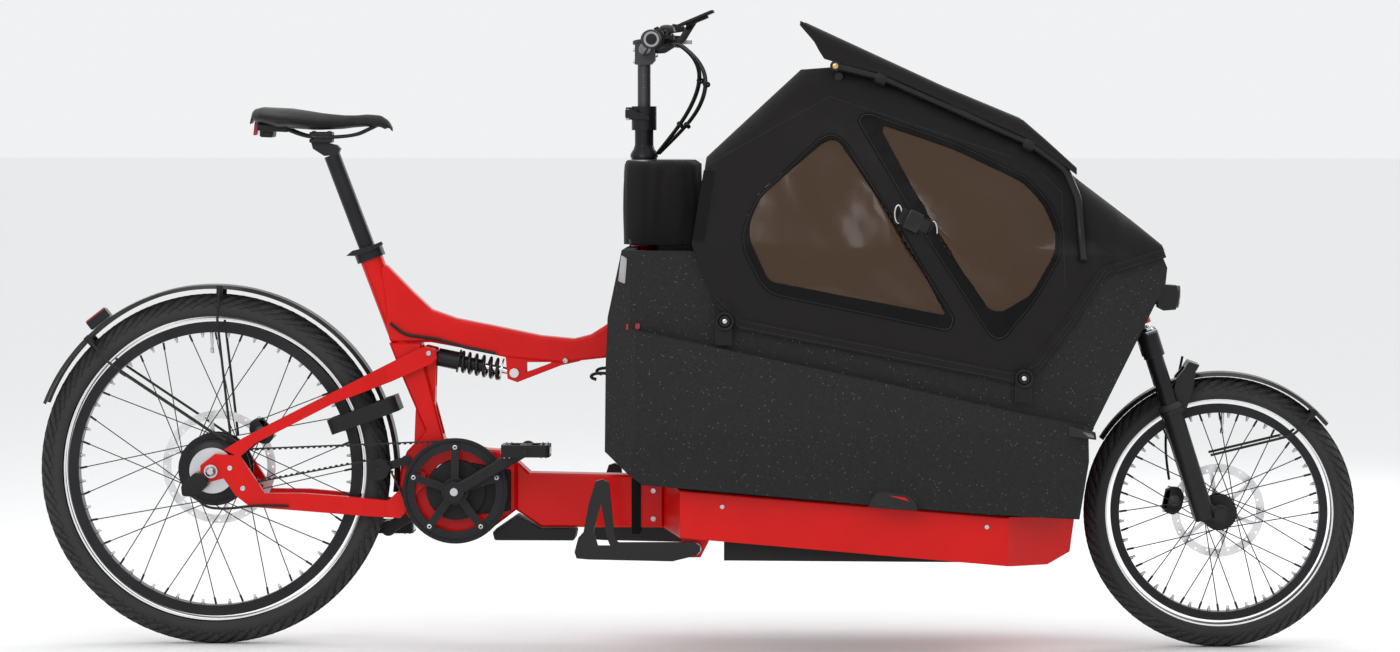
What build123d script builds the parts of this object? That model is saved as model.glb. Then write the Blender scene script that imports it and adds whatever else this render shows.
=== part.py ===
from build123d import *
from math import atan2, cos, degrees, hypot, pi, radians, sin, sqrt
import os

# A long two-wheeled cargo cycle. Millimetres, +X forward, +Y to the rider's left, +Z up.
# The origin is on the ground, in the middle plane, halfway along the whole length.

os.makedirs("parts", exist_ok=True)

# ---- overall layout ----
rearAxleX = -929.0
frontAxleX = 1008.0
crankX = -460.0
crankZ = 301.0
columnX = -99.0
boxHalfWidth = 320.0
boxNoseHalf = 262.0
boxTipHalf = 170.0
trayHalfWidth = 250.0
beamHalfWidth = 32.0

# ---- wheels ----
rearTyreR = 339.0
frontTyreR = 260.0
tyreSection = 59.0
rearBeadR = 279.5
frontBeadR = 203.0
rearRimDepth = 15.0
frontRimDepth = 11.0
rimFlange = 5.0
rimWidth = 36.0
rimWall = 2.5
tyreWall = 3.0
spokeR = 1.0
spokeStandOff = 3.9
nippleR = 2.1
nippleLength = 14.0
spokeCount = 32
rearSpokeLead = 45.0
frontSpokeLead = 67.5
rotorThickness = 2.0
rearRotorR = 110.0
frontRotorR = 90.0
rearRotorY = 55.0
frontRotorY = 38.0
rearHubR = 60.0
rearFlangeR = 70.0
rearFlangeY = 28.0
frontHubR = 22.0
frontFlangeR = 34.0
frontFlangeY = 26.0
flangeThickness = 3.4
axleR = 7.5
hubCoreR = axleR + 9.5
hitchR = 5.0
hitchLength = 12.0
hubClearance = 0.05
fitGap = 0.1
frontLegY = 65.0

# ---- belt drive ----
beltPitch = 11.0
beltWidth = 12.0
beltY = -57.0
beltThickness = 4.5
chainringTeeth = 55
sprocketTeeth = 22
idlerR = 18.0
idlerX = -609.0
idlerZ = 341.5
crankLength = 165.0
crankAngle = 30.5
crankArmY = 92.0
pedalLength = 92.0
pedalWidth = 84.0
pedalThickness = 23.0

# ---- rear suspension ----
pivotX = -530.0
pivotZ = 322.0
pivotBoltR = 8.0
shockRearX = -512.0
shockRearZ = 559.0
shockFrontX = -349.0
shockFrontZ = 526.0
shockEyeR = 13.0
shockEyeBoltR = 5.0
shockEyePlay = 0.9
shockBayHalf = 12.5
springR = 19.0
springWireR = 3.2
springTurns = 5
shaftR = 7.0

# ---- seat ----
seatTubeR = 22.5
seatPostR = 15.8
seatTubeTopX = -631.4
seatTubeTopZ = 758.8
seatTubeLean = 20.8
seatPostTop = 200.0

# ---- steering ----
columnR = 18.0
mastWall = 4.0
mastRoom = 3.0
mastR = columnR + mastRoom + mastWall
riserR = 12.5
columnTopZ = 1008.0
collarTopZ = 1040.0
barHalf = 340.0
barR = 11.1
gripR = 16.5
gripLength = 132.0
forkLean = 17.5
legTopX = 868.0
legTopZ = 605.0
steererBack = 12.0
steererR = 14.3
headTubeR = 24.0
headTubeLength = 125.0
stanchionR = 16.0
lowerLegR = stanchionR + 4.0

# ---- stand ----
standX = 8.0
standZ = 205.0
standLegY = 240.0


def at(x, z, y=0.0):
    return Location((x, y, z))


def slab(points, half, y=0.0, radius=0.0):
    """A side-view outline, given thickness across the cycle."""
    sketch = Polygon(*points, align=None)
    if radius > 0:
        sketch = fillet(sketch.vertices(), radius)
    return extrude(Plane.XZ.offset(-y) * sketch, amount=half, both=True)


def rod(start, end, radius, inner=0.0):
    """A round bar or tube between two points."""
    first = Vector(*start)
    line = Vector(*end) - first
    plane = Plane(origin=first, z_dir=line.normalized())
    shape = extrude(plane * Circle(radius), amount=line.length)
    if inner > 0:
        shape -= extrude(plane * Circle(inner), amount=line.length)
    return shape


def disc(x, z, y, radius, width, inner=0.0):
    """A disc or ring across the cycle, centred on y."""
    plane = Plane(origin=(x, y - width / 2, z), x_dir=(1, 0, 0), z_dir=(0, 1, 0))
    shape = extrude(plane * Circle(radius), amount=width)
    if inner > 0:
        shape -= extrude(plane * Circle(inner), amount=width)
    return shape


def bentTube(points, radius, radii, inner=0.0):
    """A tube along straight runs joined by tangent arcs."""
    path = FilletPolyline(*points, radius=radii) if len(points) > 2 else Polyline(*points)
    plane = Plane(origin=path @ 0, z_dir=path % 0)
    shape = sweep(plane * Circle(radius), path=path)
    if inner > 0:
        shape -= sweep(plane * Circle(inner), path=path)
    return shape


def unit(angle):
    return cos(radians(angle)), sin(radians(angle))


def planBand(points, bottom=0.0, top=1400.0):
    """A plan-view outline, as a tall block to cut side outlines with."""
    half = (top - bottom) / 2
    return extrude(Plane.XY.offset(bottom + half) * Polygon(*points, align=None), amount=half, both=True)


def bore(x, z, radius, reach=400.0, y=0.0):
    return disc(x, z, y, radius, reach)


# ---- wheels ----
def makeTyre(x, z, tyreR):
    middleR = tyreR - tyreSection / 2
    seatR = (rearBeadR if tyreR == rearTyreR else frontBeadR) + rimFlange + fitGap
    ring = revolve(Plane.YZ * (Pos(0, middleR) * Circle(tyreSection / 2)), axis=Axis.Y)
    ring -= revolve(Plane.YZ * (Pos(0, middleR) * Circle(tyreSection / 2 - tyreWall)), axis=Axis.Y)
    ring -= disc(0, 0, 0, seatR, tyreSection)
    return at(x, z) * ring


def makeRim(x, z, beadR, depth):
    outerR = beadR + rimFlange
    ring = disc(0, 0, 0, outerR, rimWidth, beadR - depth)
    ring -= disc(0, 0, 0, outerR + 1, rimWidth - 2 * rimWall, beadR - rimWall)
    return at(x, z) * ring


def makeSpokes(x, z, rimInnerR, holeR, flangeY, lead):
    spokes = []
    for index in range(spokeCount):
        side = 1 if index % 2 else -1
        pull = 1 if (index // 2) % 2 else -1
        rimAngle = index * 360 / spokeCount
        rimX, rimZ = unit(rimAngle)
        hubX, hubZ = unit(rimAngle + pull * lead)
        hubY = side * flangeY + pull * spokeStandOff
        hubEnd = Vector(holeR * hubX, hubY, holeR * hubZ)
        rimEnd = Vector((rimInnerR - fitGap) * rimX, side * 3.0, (rimInnerR - fitGap) * rimZ)
        line = (hubEnd - rimEnd).normalized()
        squareEnd = rimEnd + line * 1.0
        wire = rod(tuple(hubEnd), tuple(squareEnd), spokeR)
        nipple = rod(tuple(squareEnd), tuple(squareEnd + line * nippleLength), nippleR)
        spokes.append(at(x, z) * (wire + nipple))
    return Compound(children=spokes)


def makeHub(x, z, shellR, flangeR, flangeY, rotorY, innerEndY):
    rotorSeat = rotorY - rotorThickness / 2 - fitGap
    hub = disc(0, 0, 0, shellR, 2 * flangeY)
    for side in (-1, 1):
        hub += disc(0, 0, side * flangeY, flangeR, flangeThickness)
    hub += disc(0, 0, (rotorSeat - innerEndY) / 2, hubCoreR, rotorSeat + innerEndY)
    hub -= bore(0, 0, axleR + hubClearance)
    return at(x, z) * hub


def makeRotor(x, z, rotorR, rotorY):
    ring = disc(0, 0, rotorY, rotorR, rotorThickness, rotorR - 16.0)
    ring += disc(0, 0, rotorY, 24.0, rotorThickness)
    for index in range(6):
        arm = Box(rotorR - 12.0, rotorThickness, 8.0, align=(Align.MIN, Align.CENTER, Align.CENTER))
        ring += Pos(0, rotorY, 0) * Rot(0, index * 60 + 20, 0) * arm
    for index in range(24):
        holeX, holeZ = unit(index * 15)
        holeRing = rotorR - 5.0 - 6.0 * (index % 2)
        ring -= disc(holeX * holeRing, holeZ * holeRing, rotorY, 2.4, 3 * rotorThickness)
    ring -= bore(0, 0, axleR + hubClearance)
    return at(x, z) * ring


# ---- belt drive ----
chainringR = chainringTeeth * beltPitch / (2 * pi)
sprocketR = sprocketTeeth * beltPitch / (2 * pi)


def beltCircles(shift):
    """Centre, radius and turning sense of each wheel that the belt follows."""
    return [
        (Vector(rearAxleX, rearTyreR), sprocketR + shift, 1),
        (Vector(idlerX, idlerZ), idlerR + beltThickness / 2 + fitGap - shift, -1),
        (Vector(crankX, crankZ), chainringR + shift, 1),
    ]


def beltOutline(shift):
    circles = beltCircles(shift)
    runs = []
    for index, (centre, radius, sense) in enumerate(circles):
        nextCentre, nextRadius, nextSense = circles[(index + 1) % len(circles)]
        gap = nextCentre - centre
        offset = (nextSense * nextRadius - sense * radius) / gap.length
        base = atan2(gap.Y, gap.X) - atan2(offset, sqrt(1 - offset * offset))
        normal = Vector(-sin(base), cos(base))
        runs.append((centre - normal * (sense * radius), nextCentre - normal * (nextSense * nextRadius)))
    edges = []
    for index, (centre, radius, sense) in enumerate(circles):
        arrive = runs[index - 1][1]
        leave = runs[index][0]
        first = atan2(arrive.Y - centre.Y, arrive.X - centre.X)
        last = atan2(leave.Y - centre.Y, leave.X - centre.X)
        turn = ((last - first) * sense) % (2 * pi)
        middle = first + sense * turn / 2
        crest = centre + Vector(cos(middle), sin(middle)) * radius
        edges.append(ThreePointArc(arrive, crest, leave))
        edges.append(Line(*runs[index]))
    return make_face(Wire(edges))


def makeBelt():
    loop = beltOutline(beltThickness / 2) - beltOutline(-beltThickness / 2)
    return extrude(Plane.XZ.offset(-beltY) * loop, amount=beltWidth / 2, both=True)


def makeToothedWheel(x, z, pitchR, innerR):
    """A belt wheel with a guard flange outside the belt."""
    seatR = pitchR - beltThickness / 2 - fitGap
    wheel = disc(x, z, beltY, seatR, beltWidth + 1, innerR)
    guardY = beltY - beltWidth / 2 - 1.8
    return wheel + disc(x, z, guardY, pitchR + 5.5, 2.6, innerR)


def makeChainring():
    ring = makeToothedWheel(crankX, crankZ, chainringR, chainringR - 18.0)
    for index in range(5):
        boltX, boltZ = unit(index * 72 + 18)
        reach = chainringR - 12.0
        ring -= disc(crankX + boltX * reach, crankZ + boltZ * reach, beltY, 4.05, 40.0)
    return ring


def makeSprocket():
    wheel = makeToothedWheel(rearAxleX, rearTyreR, sprocketR, 20.0)
    wheel += disc(rearAxleX, rearTyreR, beltY, 22.0, 8.0)
    return wheel - bore(rearAxleX, rearTyreR, axleR + hubClearance)


def makeIdler():
    wheel = disc(idlerX, idlerZ, beltY, idlerR, beltWidth + 4)
    for side in (-1, 1):
        wheel += disc(idlerX, idlerZ, beltY + side * (beltWidth / 2 + 2.0), idlerR + 3.0, 1.6)
    return wheel - bore(idlerX, idlerZ, 5.0 + hubClearance)


armBoltX = -556.0
armBoltZ = 358.0


def makeIdlerArm():
    innerY = -beamHalfWidth - 3.0
    armY = beltY + beltWidth / 2 + 6.5
    reach = Vector(armBoltX, 0, armBoltZ) - Vector(idlerX, 0, idlerZ)
    plate = Pos((idlerX + armBoltX) / 2, armY, (idlerZ + armBoltZ) / 2) * Rot(
        0, -degrees(atan2(reach.Z, reach.X)), 0) * Box(reach.length, 4.0, 16.0)
    plate += disc(idlerX, idlerZ, armY, 10.0, 4.0)
    plate += disc(armBoltX, armBoltZ, armY, 10.0, 4.0)
    plate += rod((armBoltX, armY, armBoltZ), (armBoltX, innerY, armBoltZ), 9.0)
    plate += rod((idlerX, armY, idlerZ), (idlerX, beltY - beltWidth / 2 - 4, idlerZ), 5.0)
    return plate


def crankPoint(side):
    angle = crankAngle if side < 0 else crankAngle + 180
    wayX, wayZ = unit(angle)
    return crankX + crankLength * wayX, crankZ + crankLength * wayZ


crankAxleR = 11.0
pedalAxleR = 5.0
spiderY = beltY - beltWidth / 2 - 3.2 - 3.0


def makeCrankset():
    axle = rod((crankX, -crankArmY, crankZ), (crankX, crankArmY, crankZ), crankAxleR)
    for side in (-1, 1):
        endX, endZ = crankPoint(side)
        middle = ((crankX + endX) / 2, side * crankArmY, (crankZ + endZ) / 2)
        tilt = degrees(atan2(endZ - crankZ, endX - crankX))
        arm = Pos(*middle) * Rot(0, -tilt, 0) * Box(crankLength, 12.0, 24.0)
        arm = fillet(arm.edges().group_by(SortBy.LENGTH)[-1], 4.0)
        axle += arm + disc(endX, endZ, side * crankArmY, 15.0, 13.0)
        axle += disc(crankX, crankZ, side * crankArmY, 19.0, 16.0)
        axle += rod((endX, side * crankArmY, endZ), (endX, side * (crankArmY + 14 + pedalWidth), endZ),
                    pedalAxleR)
    hubFace = disc(crankX, crankZ, spiderY - 1.0, 26.0, 8.0)
    for index in range(5):
        boltX, boltZ = unit(index * 72 + 18)
        reach = chainringR - 12.0
        foot = (crankX + boltX * reach, spiderY, crankZ + boltZ * reach)
        tilt = degrees(atan2(boltZ, boltX))
        way = Pos(crankX + boltX * reach / 2, spiderY, crankZ + boltZ * reach / 2) * Rot(0, -tilt, 0)
        hubFace += way * Box(reach, 5.0, 15.0)
        hubFace += disc(foot[0], foot[2], spiderY, 9.0, 5.0)
        hubFace += rod(foot, (foot[0], beltY + 6, foot[2]), 4.0)
    axle += hubFace
    axle += rod((crankX, spiderY, crankZ), (crankX, -crankArmY, crankZ), 16.0)
    return axle


def makePedal(side):
    endX, endZ = crankPoint(side)
    middleY = side * (crankArmY + 12.0 + pedalWidth / 2)
    body = Pos(endX, middleY, endZ) * Box(pedalLength, pedalWidth, pedalThickness)
    body = fillet(body.edges().filter_by(Axis.Z), 9.0)
    for way in (-1, 1):
        window = Box(pedalLength / 2 - 22.0, pedalWidth - 20.0, 40.0)
        body -= Pos(endX + way * pedalLength / 4, middleY, endZ) * window
    return body - bore(endX, endZ, pedalAxleR + hubClearance)


# ---- frame ----
seatTubeDown = Vector(sin(radians(seatTubeLean)), 0, -cos(radians(seatTubeLean)))
seatTubeTop = Vector(seatTubeTopX, 0, seatTubeTopZ)
seatTubeLength = 190.0
motorR = 57.0
motorHalf = 47.0
strutHalf = 21.0
strutSlot = 24.0
shockAxis = (Vector(shockFrontX, 0, shockFrontZ) - Vector(shockRearX, 0, shockRearZ)).normalized()
shockLength = hypot(shockFrontX - shockRearX, shockFrontZ - shockRearZ)


def alongSeat(distance):
    return tuple(seatTubeTop + seatTubeDown * distance)


def makeSeatTubeFrame():
    outline = [(-590, 584), (-527, 584), (-519, 533), (-484, 398), (-403, 379), (-372, 377), (-345, 360),
               (-345, 262), (-392, 226), (-470, 214), (-535, 226), (-573, 273), (-568, 344), (-556, 375),
               (-532, 400), (-521, 416), (-563, 514)]
    body = slab(outline, beamHalfWidth)
    body = chamfer(body.faces().filter_by(Axis.Y).edges(), 4.0)
    slot = [(-600, 290), (-498, 290), (-490, 400), (-430, 540), (-430, 579), (-610, 579)]
    body -= slab(slot, strutSlot)
    body -= bore(crankX, crankZ, motorR + 1.0)
    body -= slab(motorBlock(1.0), 60.0)
    body += rod(alongSeat(0), alongSeat(seatTubeLength), seatTubeR)
    body -= rod(alongSeat(-1), alongSeat(seatTubeLength - 6), seatPostR + hubClearance)
    body -= bore(pivotX, pivotZ, pivotBoltR + hubClearance)
    return body


def motorBlock(grow):
    return [(-462 - grow, 250 - grow), (-356 + grow, 262 - grow), (-356 + grow, 338 + grow),
            (-430, 352 + grow)]


def makeMotor():
    body = disc(crankX, crankZ, 0, motorR, 2 * motorHalf) + slab(motorBlock(0), motorHalf - 8)
    body = body - bore(crankX, crankZ, crankAxleR + hubClearance)
    cover = slab([(-386, 204), (-390, 220), (-344, 252), (-297, 225), (-228, 225), (-232, 204)], 40.0,
                 radius=5.0)
    return Compound(children=[body, cover])


def makeTopBeam():
    outline = [(-610, 748), (-548, 685), (-509, 648), (-461, 631), (-394, 618), (-298, 598),
               (-234, 592), (-202, 600), (-169, 621), (-100, 626), (-100, 550), (-169, 556), (-259, 546),
               (-365, 556), (-432, 571), (-509, 585), (-590, 585)]
    beam = slab(outline, 24.0, radius=8.0)
    beam = fillet(beam.faces().filter_by(Axis.Y).edges(), 6.0)
    beam -= rod(alongSeat(-60), alongSeat(seatTubeLength + 30), seatTubeR)
    beam -= rod((columnX, 0, 500), (columnX, 0, 700), mastR)
    bracket = slab([(-366, 560), (-362, 515), (-343, 508), (-258, 541), (-222, 549), (-222, 562)], 20.0)
    bracket -= slab([(-400, 480), (-400, 549), (-318, 549), (-318, 480)], 13.0)
    bracket -= slab([(-326, 547), (-326, 527), (-278, 545), (-278, 547)], 60.0)
    beam += bracket
    return beam - bore(shockFrontX, shockFrontZ, shockEyeBoltR + hubClearance)


def makeLowerBeam():
    beam = slab([(-345, 358), (-319, 334), (-60, 329), (-60, 229), (-297, 229), (-345, 262)], beamHalfWidth)
    beam = chamfer(beam.faces().filter_by(Axis.Y).edges(), 4.0)
    return beam - rod((columnX, 0, 200), (columnX, 0, 400), mastR)


mastBottomZ = 235.0
mastTopZ = 925.0


def makeMast():
    mast = rod((columnX, 0, mastBottomZ), (columnX, 0, mastTopZ), mastR)
    return mast - rod((columnX, 0, mastBottomZ + 12), (columnX, 0, mastTopZ + 1), columnR + mastRoom)


def makeMastBearings():
    rings = []
    for low in (mastBottomZ + 30, mastTopZ - 18):
        rings.append(rod((columnX, 0, low), (columnX, 0, low + 16), columnR + mastRoom,
                         columnR + hubClearance))
    cap = rod((columnX, 0, mastTopZ + 0.3), (columnX, 0, mastTopZ + 12), mastR + 2, columnR + 0.4)
    return Compound(children=rings + [cap])


trayRearX = -60.0
trayNoseX = 728.0


def makeTray():
    side = [(trayRearX, 320), (192, 299), (trayNoseX, 257), (719, 192), (676, 171), (607, 173),
            (trayRearX, 229)]
    plan = [(trayRearX, -beamHalfWidth), (-20, -trayHalfWidth), (600, -trayHalfWidth), (trayNoseX, -110),
            (trayNoseX, 110), (600, trayHalfWidth), (-20, trayHalfWidth), (trayRearX, beamHalfWidth)]
    tray = slab(side, trayHalfWidth) & planBand(plan)
    tray = chamfer(tray.edges().filter_by(Plane.XZ).sort_by(Axis.Z)[-4:], 3.0)
    bay = slab([(60, 150), (60, 296), (560, 258), (560, 150)], 86.0, 130.0)
    tray -= bay
    tray -= mirror(bay, about=Plane.XZ)
    lug = slab([(-22, 240), (-13, 192), (-2, 187), (18, 187), (32, 214), (44, 240)], 6.0, -222.0)
    lug = lug + slab([(-22, 240), (-13, 192), (-2, 187), (18, 187), (32, 214), (44, 240)], 6.0, -60.0)
    lug -= slab([(trayRearX, 229), (607, 173), (607, 400), (trayRearX, 400)], 300.0)
    tray += lug
    tray += mirror(lug, about=Plane.XZ)
    return tray - bore(standX, standZ, standShaftR + hubClearance, 520.0)


standShaftR = 9.0


def makeBatteries():
    packs = []
    for side in (-1, 1):
        pack = slab([(62, 180), (62, 293), (558, 255), (558, 178)], 83.0, side * 130.0)
        packs.append(pack)
    return Compound(children=packs)


steerUp = Vector(-sin(radians(forkLean)), 0, cos(radians(forkLean)))
steerOut = Vector(cos(radians(forkLean)), 0, sin(radians(forkLean)))
legTop = Vector(legTopX, 0, legTopZ)
steerBase = legTop - steerOut * steererBack
headTubeLow = 18.0


def onSteerer(distance, ahead=0.0, y=0.0):
    """A point along the steering axis, measured upwards from the crown."""
    point = steerBase + steerUp * distance + steerOut * ahead
    return (point.X, y, point.Z)


def makeFrontDownTube():
    route = [(690, 0, 270), (712, 0, 420), (824, 0, 668)]
    tube = bentTube(route, 22.0, [150.0])
    tube -= slab([(600, 200), (800, 200), (800, 259), (trayNoseX, 257.5), (600, 267.5)], 60.0)
    low = onSteerer(headTubeLow)
    high = onSteerer(headTubeLow + headTubeLength)
    tube += rod(low, high, headTubeR)
    tube += rod(low, onSteerer(headTubeLow + 10), headTubeR + 3)
    tube += rod(onSteerer(headTubeLow + headTubeLength - 10), high, headTubeR + 3)
    return tube - rod(onSteerer(0), onSteerer(headTubeLow + headTubeLength + 5), steererR + hubClearance)


def makePivotBolts():
    bolts = []
    pivotHalf = yokeOuterY - 0.2
    bolts.append(rod((pivotX, -pivotHalf, pivotZ), (pivotX, pivotHalf, pivotZ), pivotBoltR))
    eye = rod((shockFrontX, -24, shockFrontZ), (shockFrontX, 24, shockFrontZ), shockEyeBoltR)
    for side in (-1, 1):
        eye += disc(shockFrontX, shockFrontZ, side * 22.0, 9.0, 4.0)
    bolts.append(eye)
    return Compound(children=bolts)


# ---- load box ----
boxWall = 30.0
boxSide = [(-129, 771), (-158, 642), (-162, 555), (-164, 387), (-114, 347), (-89, 328), (336, 291),
           (560, 273),
           (734, 264), (752, 373), (751, 416), (899, 706), (902, 735), (890, 763)]
boxPlan = [(-170, -210), (-100, -boxHalfWidth), (600, -boxHalfWidth), (760, -boxNoseHalf),
           (910, -boxTipHalf),
           (910, boxTipHalf), (760, boxNoseHalf), (600, boxHalfWidth), (-100, boxHalfWidth), (-170, 210)]
boxFront = [(-266, 250), (-boxHalfWidth, 430), (-boxHalfWidth, 790), (boxHalfWidth, 790),
            (boxHalfWidth, 430),
            (266, 250)]
ledgeIn = 18.0
rimHalf = boxHalfWidth - ledgeIn
rimNoseHalf = boxNoseHalf - ledgeIn
rimTipHalf = boxTipHalf - ledgeIn
rimPlan = [(-300, -rimHalf), (600, -rimHalf), (760, -rimNoseHalf), (910, -rimTipHalf),
           (910, rimTipHalf), (760, rimNoseHalf), (600, rimHalf), (-300, rimHalf)]
nookR = 104.0


def makeHull(side, plan, front, inset):
    """What three outlines have in common, each drawn in by the same wall."""
    sideFace = Polygon(*side, align=None)
    planFace = Polygon(*plan, align=None)
    frontFace = Polygon(*front, align=None)
    if inset > 0:
        sideFace = offset(sideFace, -inset, kind=Kind.INTERSECTION)
        planFace = offset(planFace, -inset, kind=Kind.INTERSECTION)
        frontFace = offset(frontFace, -inset, kind=Kind.INTERSECTION)
    block = extrude(Plane.XZ * sideFace, amount=500, both=True)
    block &= extrude(Plane.XY.offset(700) * planFace, amount=700, both=True)
    block &= extrude(Plane.YZ.offset(400) * frontFace, amount=700, both=True)
    return block


def makeBox():
    outer = makeHull(boxSide, boxPlan, boxFront, 0)
    above = [(-250, 655), (-94, 620), (395, 517), (751, 438), (950, 396), (950, 800), (-250, 800)]
    outer -= slab(above, 400.0) - planBand(rimPlan)
    inner = makeHull(boxSide, boxPlan, boxFront, boxWall)
    inner += extrude(inner.faces().sort_by(Axis.Z)[-1], amount=120)
    box = outer - inner
    nook = rod(onSteerer(-250), onSteerer(headTubeLow + headTubeLength + 12), nookR)
    nook -= slab([(600, 628), (1000, 628), (1000, 900), (600, 900)], 200.0)
    nook += rod(onSteerer(0), onSteerer(headTubeLow + headTubeLength + 12), headTubeR + 6)
    channelHalf = fenderHalf + 4
    channel = slab([(660, 240), (680, 420), (800, 690), (850, 690), (850, 240)], channelHalf)
    nookShell = rod(onSteerer(-320), onSteerer(headTubeLow + headTubeLength + 12 + boxWall),
                    nookR + boxWall)
    channelShell = slab([(636, 240), (656, 424), (780, 712), (850, 712), (850, 240)], channelHalf + boxWall)
    box += (nookShell + channelShell) & outer
    box -= nook
    box -= channel
    slot = slab([(-300, 200), (-300, 900), (columnX + mastR + 4, 900), (columnX + mastR + 4, 200)],
                mastR + 4)
    slotShell = slab([(-150, 300), (-150, 760), (columnX + mastR + 24, 760), (columnX + mastR + 24, 300)],
                     mastR + 24)
    box += slotShell & outer
    box -= slot
    box -= slab([(-300, 200), (-300, 345), (-20, 345), (-20, 200)], beamHalfWidth + 4)
    return box


# ---- canopy ----
canopyWall = 6.0
canopySide = [(5, 783), (51, 667), (94, 624), (615, 523), (654, 541), (723, 631), (785, 722), (899, 757),
              (892, 778), (844, 817), (736, 901), (726, 927), (671, 978), (627, 1016), (478, 1078),
              (209, 1200),
              (205, 1192), (240, 1152), (244, 1126), (207, 1111), (30, 946)]
canopyHalfWidth = rimHalf + canopyWall + 1.0
canopyNoseHalf = rimNoseHalf + canopyWall + 1.0
canopyTipHalf = boxTipHalf - 8.0
canopyPlan = [(-10, -canopyHalfWidth), (600, -canopyHalfWidth), (760, -canopyNoseHalf),
              (906, -canopyTipHalf),
              (906, canopyTipHalf), (760, canopyNoseHalf), (600, canopyHalfWidth), (-10, canopyHalfWidth)]
canopyFront = [(-canopyHalfWidth, 500), (-canopyHalfWidth, 780), (-248, 1120), (-225, 1210),
               (225, 1210), (248, 1120), (canopyHalfWidth, 780), (canopyHalfWidth, 500)]


def makeCanopy():
    outer = makeHull(canopySide, canopyPlan, canopyFront, 0)
    inner = makeHull(canopySide, canopyPlan, canopyFront, canopyWall)
    inner += slab([(12, 500), (12, 775), (730, 775), (730, 500)], 400.0) & makeHull(
        boxSide, canopyPlan, canopyFront, canopyWall)
    canopy = outer - inner
    boxEnvelope = makeHull(boxSide, boxPlan, boxFront, 0)
    boxEnvelope &= planBand(rimPlan)
    canopy -= boxEnvelope
    sleeve = slab([(-134, 776), (-134, 924), (5, 936), (5, 776)], 120.0)
    sleeve -= slab([(-128, 700), (-128, 930), (0, 930), (0, 700)], 114.0)
    sleeve += slab([(-134, 916), (-134, 924), (5, 936), (5, 928)], 120.0)
    sleeve -= rod((columnX, 0, 700), (columnX, 0, 950), mastR + 3)
    return canopy + sleeve


bowY = 226.0
bowR = 8.0


def makeBows():
    bows = []
    for side in (-1, 1):
        route = [(262, side * bowY, 1098), (352, side * bowY, 1080), (628, side * bowY, 958),
                 (696, side * (bowY + 3), 902), (712, side * (bowY + 4), 780),
                 (712, side * (bowY + 4), 660)]
        bows.append(bentTube(route, bowR, [60.0, 60.0, 60.0, 60.0]))
    crossHalf = bowY - bowR - 0.5
    bows.append(rod((270, -crossHalf, 1096), (270, crossHalf, 1096), bowR))
    return Compound(children=bows)


def makeCushions():
    bench = slab([(20, 470), (30, 540), (330, 540), (350, 520), (345, 470)], 215.0, radius=8.0)
    back = slab([(16, 548), (30, 872), (64, 876), (86, 548)], 205.0, radius=8.0)
    return Compound(children=[bench, back])


def makeHeadlight():
    lamp = slab([(886, 655), (886, 690), (900, 699), (926, 697), (931, 672), (924, 650), (900, 648)], 24.0,
                radius=3.0)
    outer = lamp.faces().filter_by(Axis.Y).edges()
    lamp = fillet(outer, 3.0)
    mount = slab([(862, 660), (862, 684), (890, 684), (890, 660)], 9.0)
    return (lamp + mount) - makeHull(boxSide, boxPlan, boxFront, 0)


# ---- rear end ----
stayOuterY = 83.0
stayInnerY = 67.0
yokeInnerY = 37.0
yokeOuterY = 49.5
fenderR = 353.0
fenderWall = 3.0
fenderHalf = 34.0


def makeSwingarm():
    upper = [(-905, 380), (-868, 403), (-540, 570), (-520, 578), (-500, 573), (-496, 556), (-506, 545),
             (-540, 530), (-585, 510), (-696, 468), (-849, 390), (-874, 366)]
    lower = [(-874, 369), (-826, 296), (-754, 296), (-668, 289), (-591, 281), (-560, 310), (-532, 341),
             (-519, 334), (-518, 312), (-530, 301), (-556, 262), (-568, 247), (-591, 248), (-754, 262),
             (-826, 268), (-855, 271), (-882, 292), (-905, 325), (-932, 318), (-950, 330), (-950, 350),
             (-922, 372)]
    sides = slab(upper, 120.0) + slab(lower, 120.0)
    plan = [(-960, stayInnerY), (-960, stayOuterY), (-860, stayOuterY), (-640, 62), (-592, yokeOuterY),
            (-480, yokeOuterY), (-480, yokeInnerY), (-600, yokeInnerY), (-650, 43), (-860, stayInnerY)]
    arm = sides & planBand(plan)
    arm = arm - bore(rearAxleX, rearTyreR, axleR + fitGap) - bore(pivotX, pivotZ, pivotBoltR + hubClearance)
    both = arm + mirror(arm, about=Plane.XZ)
    both += slab([(-545, 322), (-540, 450), (-526, 566), (-512, 574), (-499, 568), (-503, 450), (-515, 322),
                  (-530, 308)], strutHalf)
    for side in (-1, 1):
        both += rod((shockRearX, side * 15.0, shockRearZ), (shockRearX, side * 40.0, shockRearZ), 9.0)
    both += rod((shockRearX, -30, shockRearZ), (shockRearX, 30, shockRearZ), shockEyeBoltR)
    both -= bore(pivotX, pivotZ, pivotBoltR + hubClearance)
    eyeBay = slab([(-560, 500), (-560, 600), (-480, 600), (-480, 500)], shockBayHalf)
    return both - (eyeBay - bore(shockRearX, shockRearZ, shockEyeBoltR))


def makeRearAxle():
    axle = rod((rearAxleX, -92, rearTyreR), (rearAxleX, 92, rearTyreR), axleR)
    for side in (-1, 1):
        axle += disc(rearAxleX, rearTyreR, side * 88.0, 13.0, 8.0)
    axle += rod((rearAxleX, 92, rearTyreR), (rearAxleX, 92 + hitchLength, rearTyreR), hitchR)
    return axle


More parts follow.
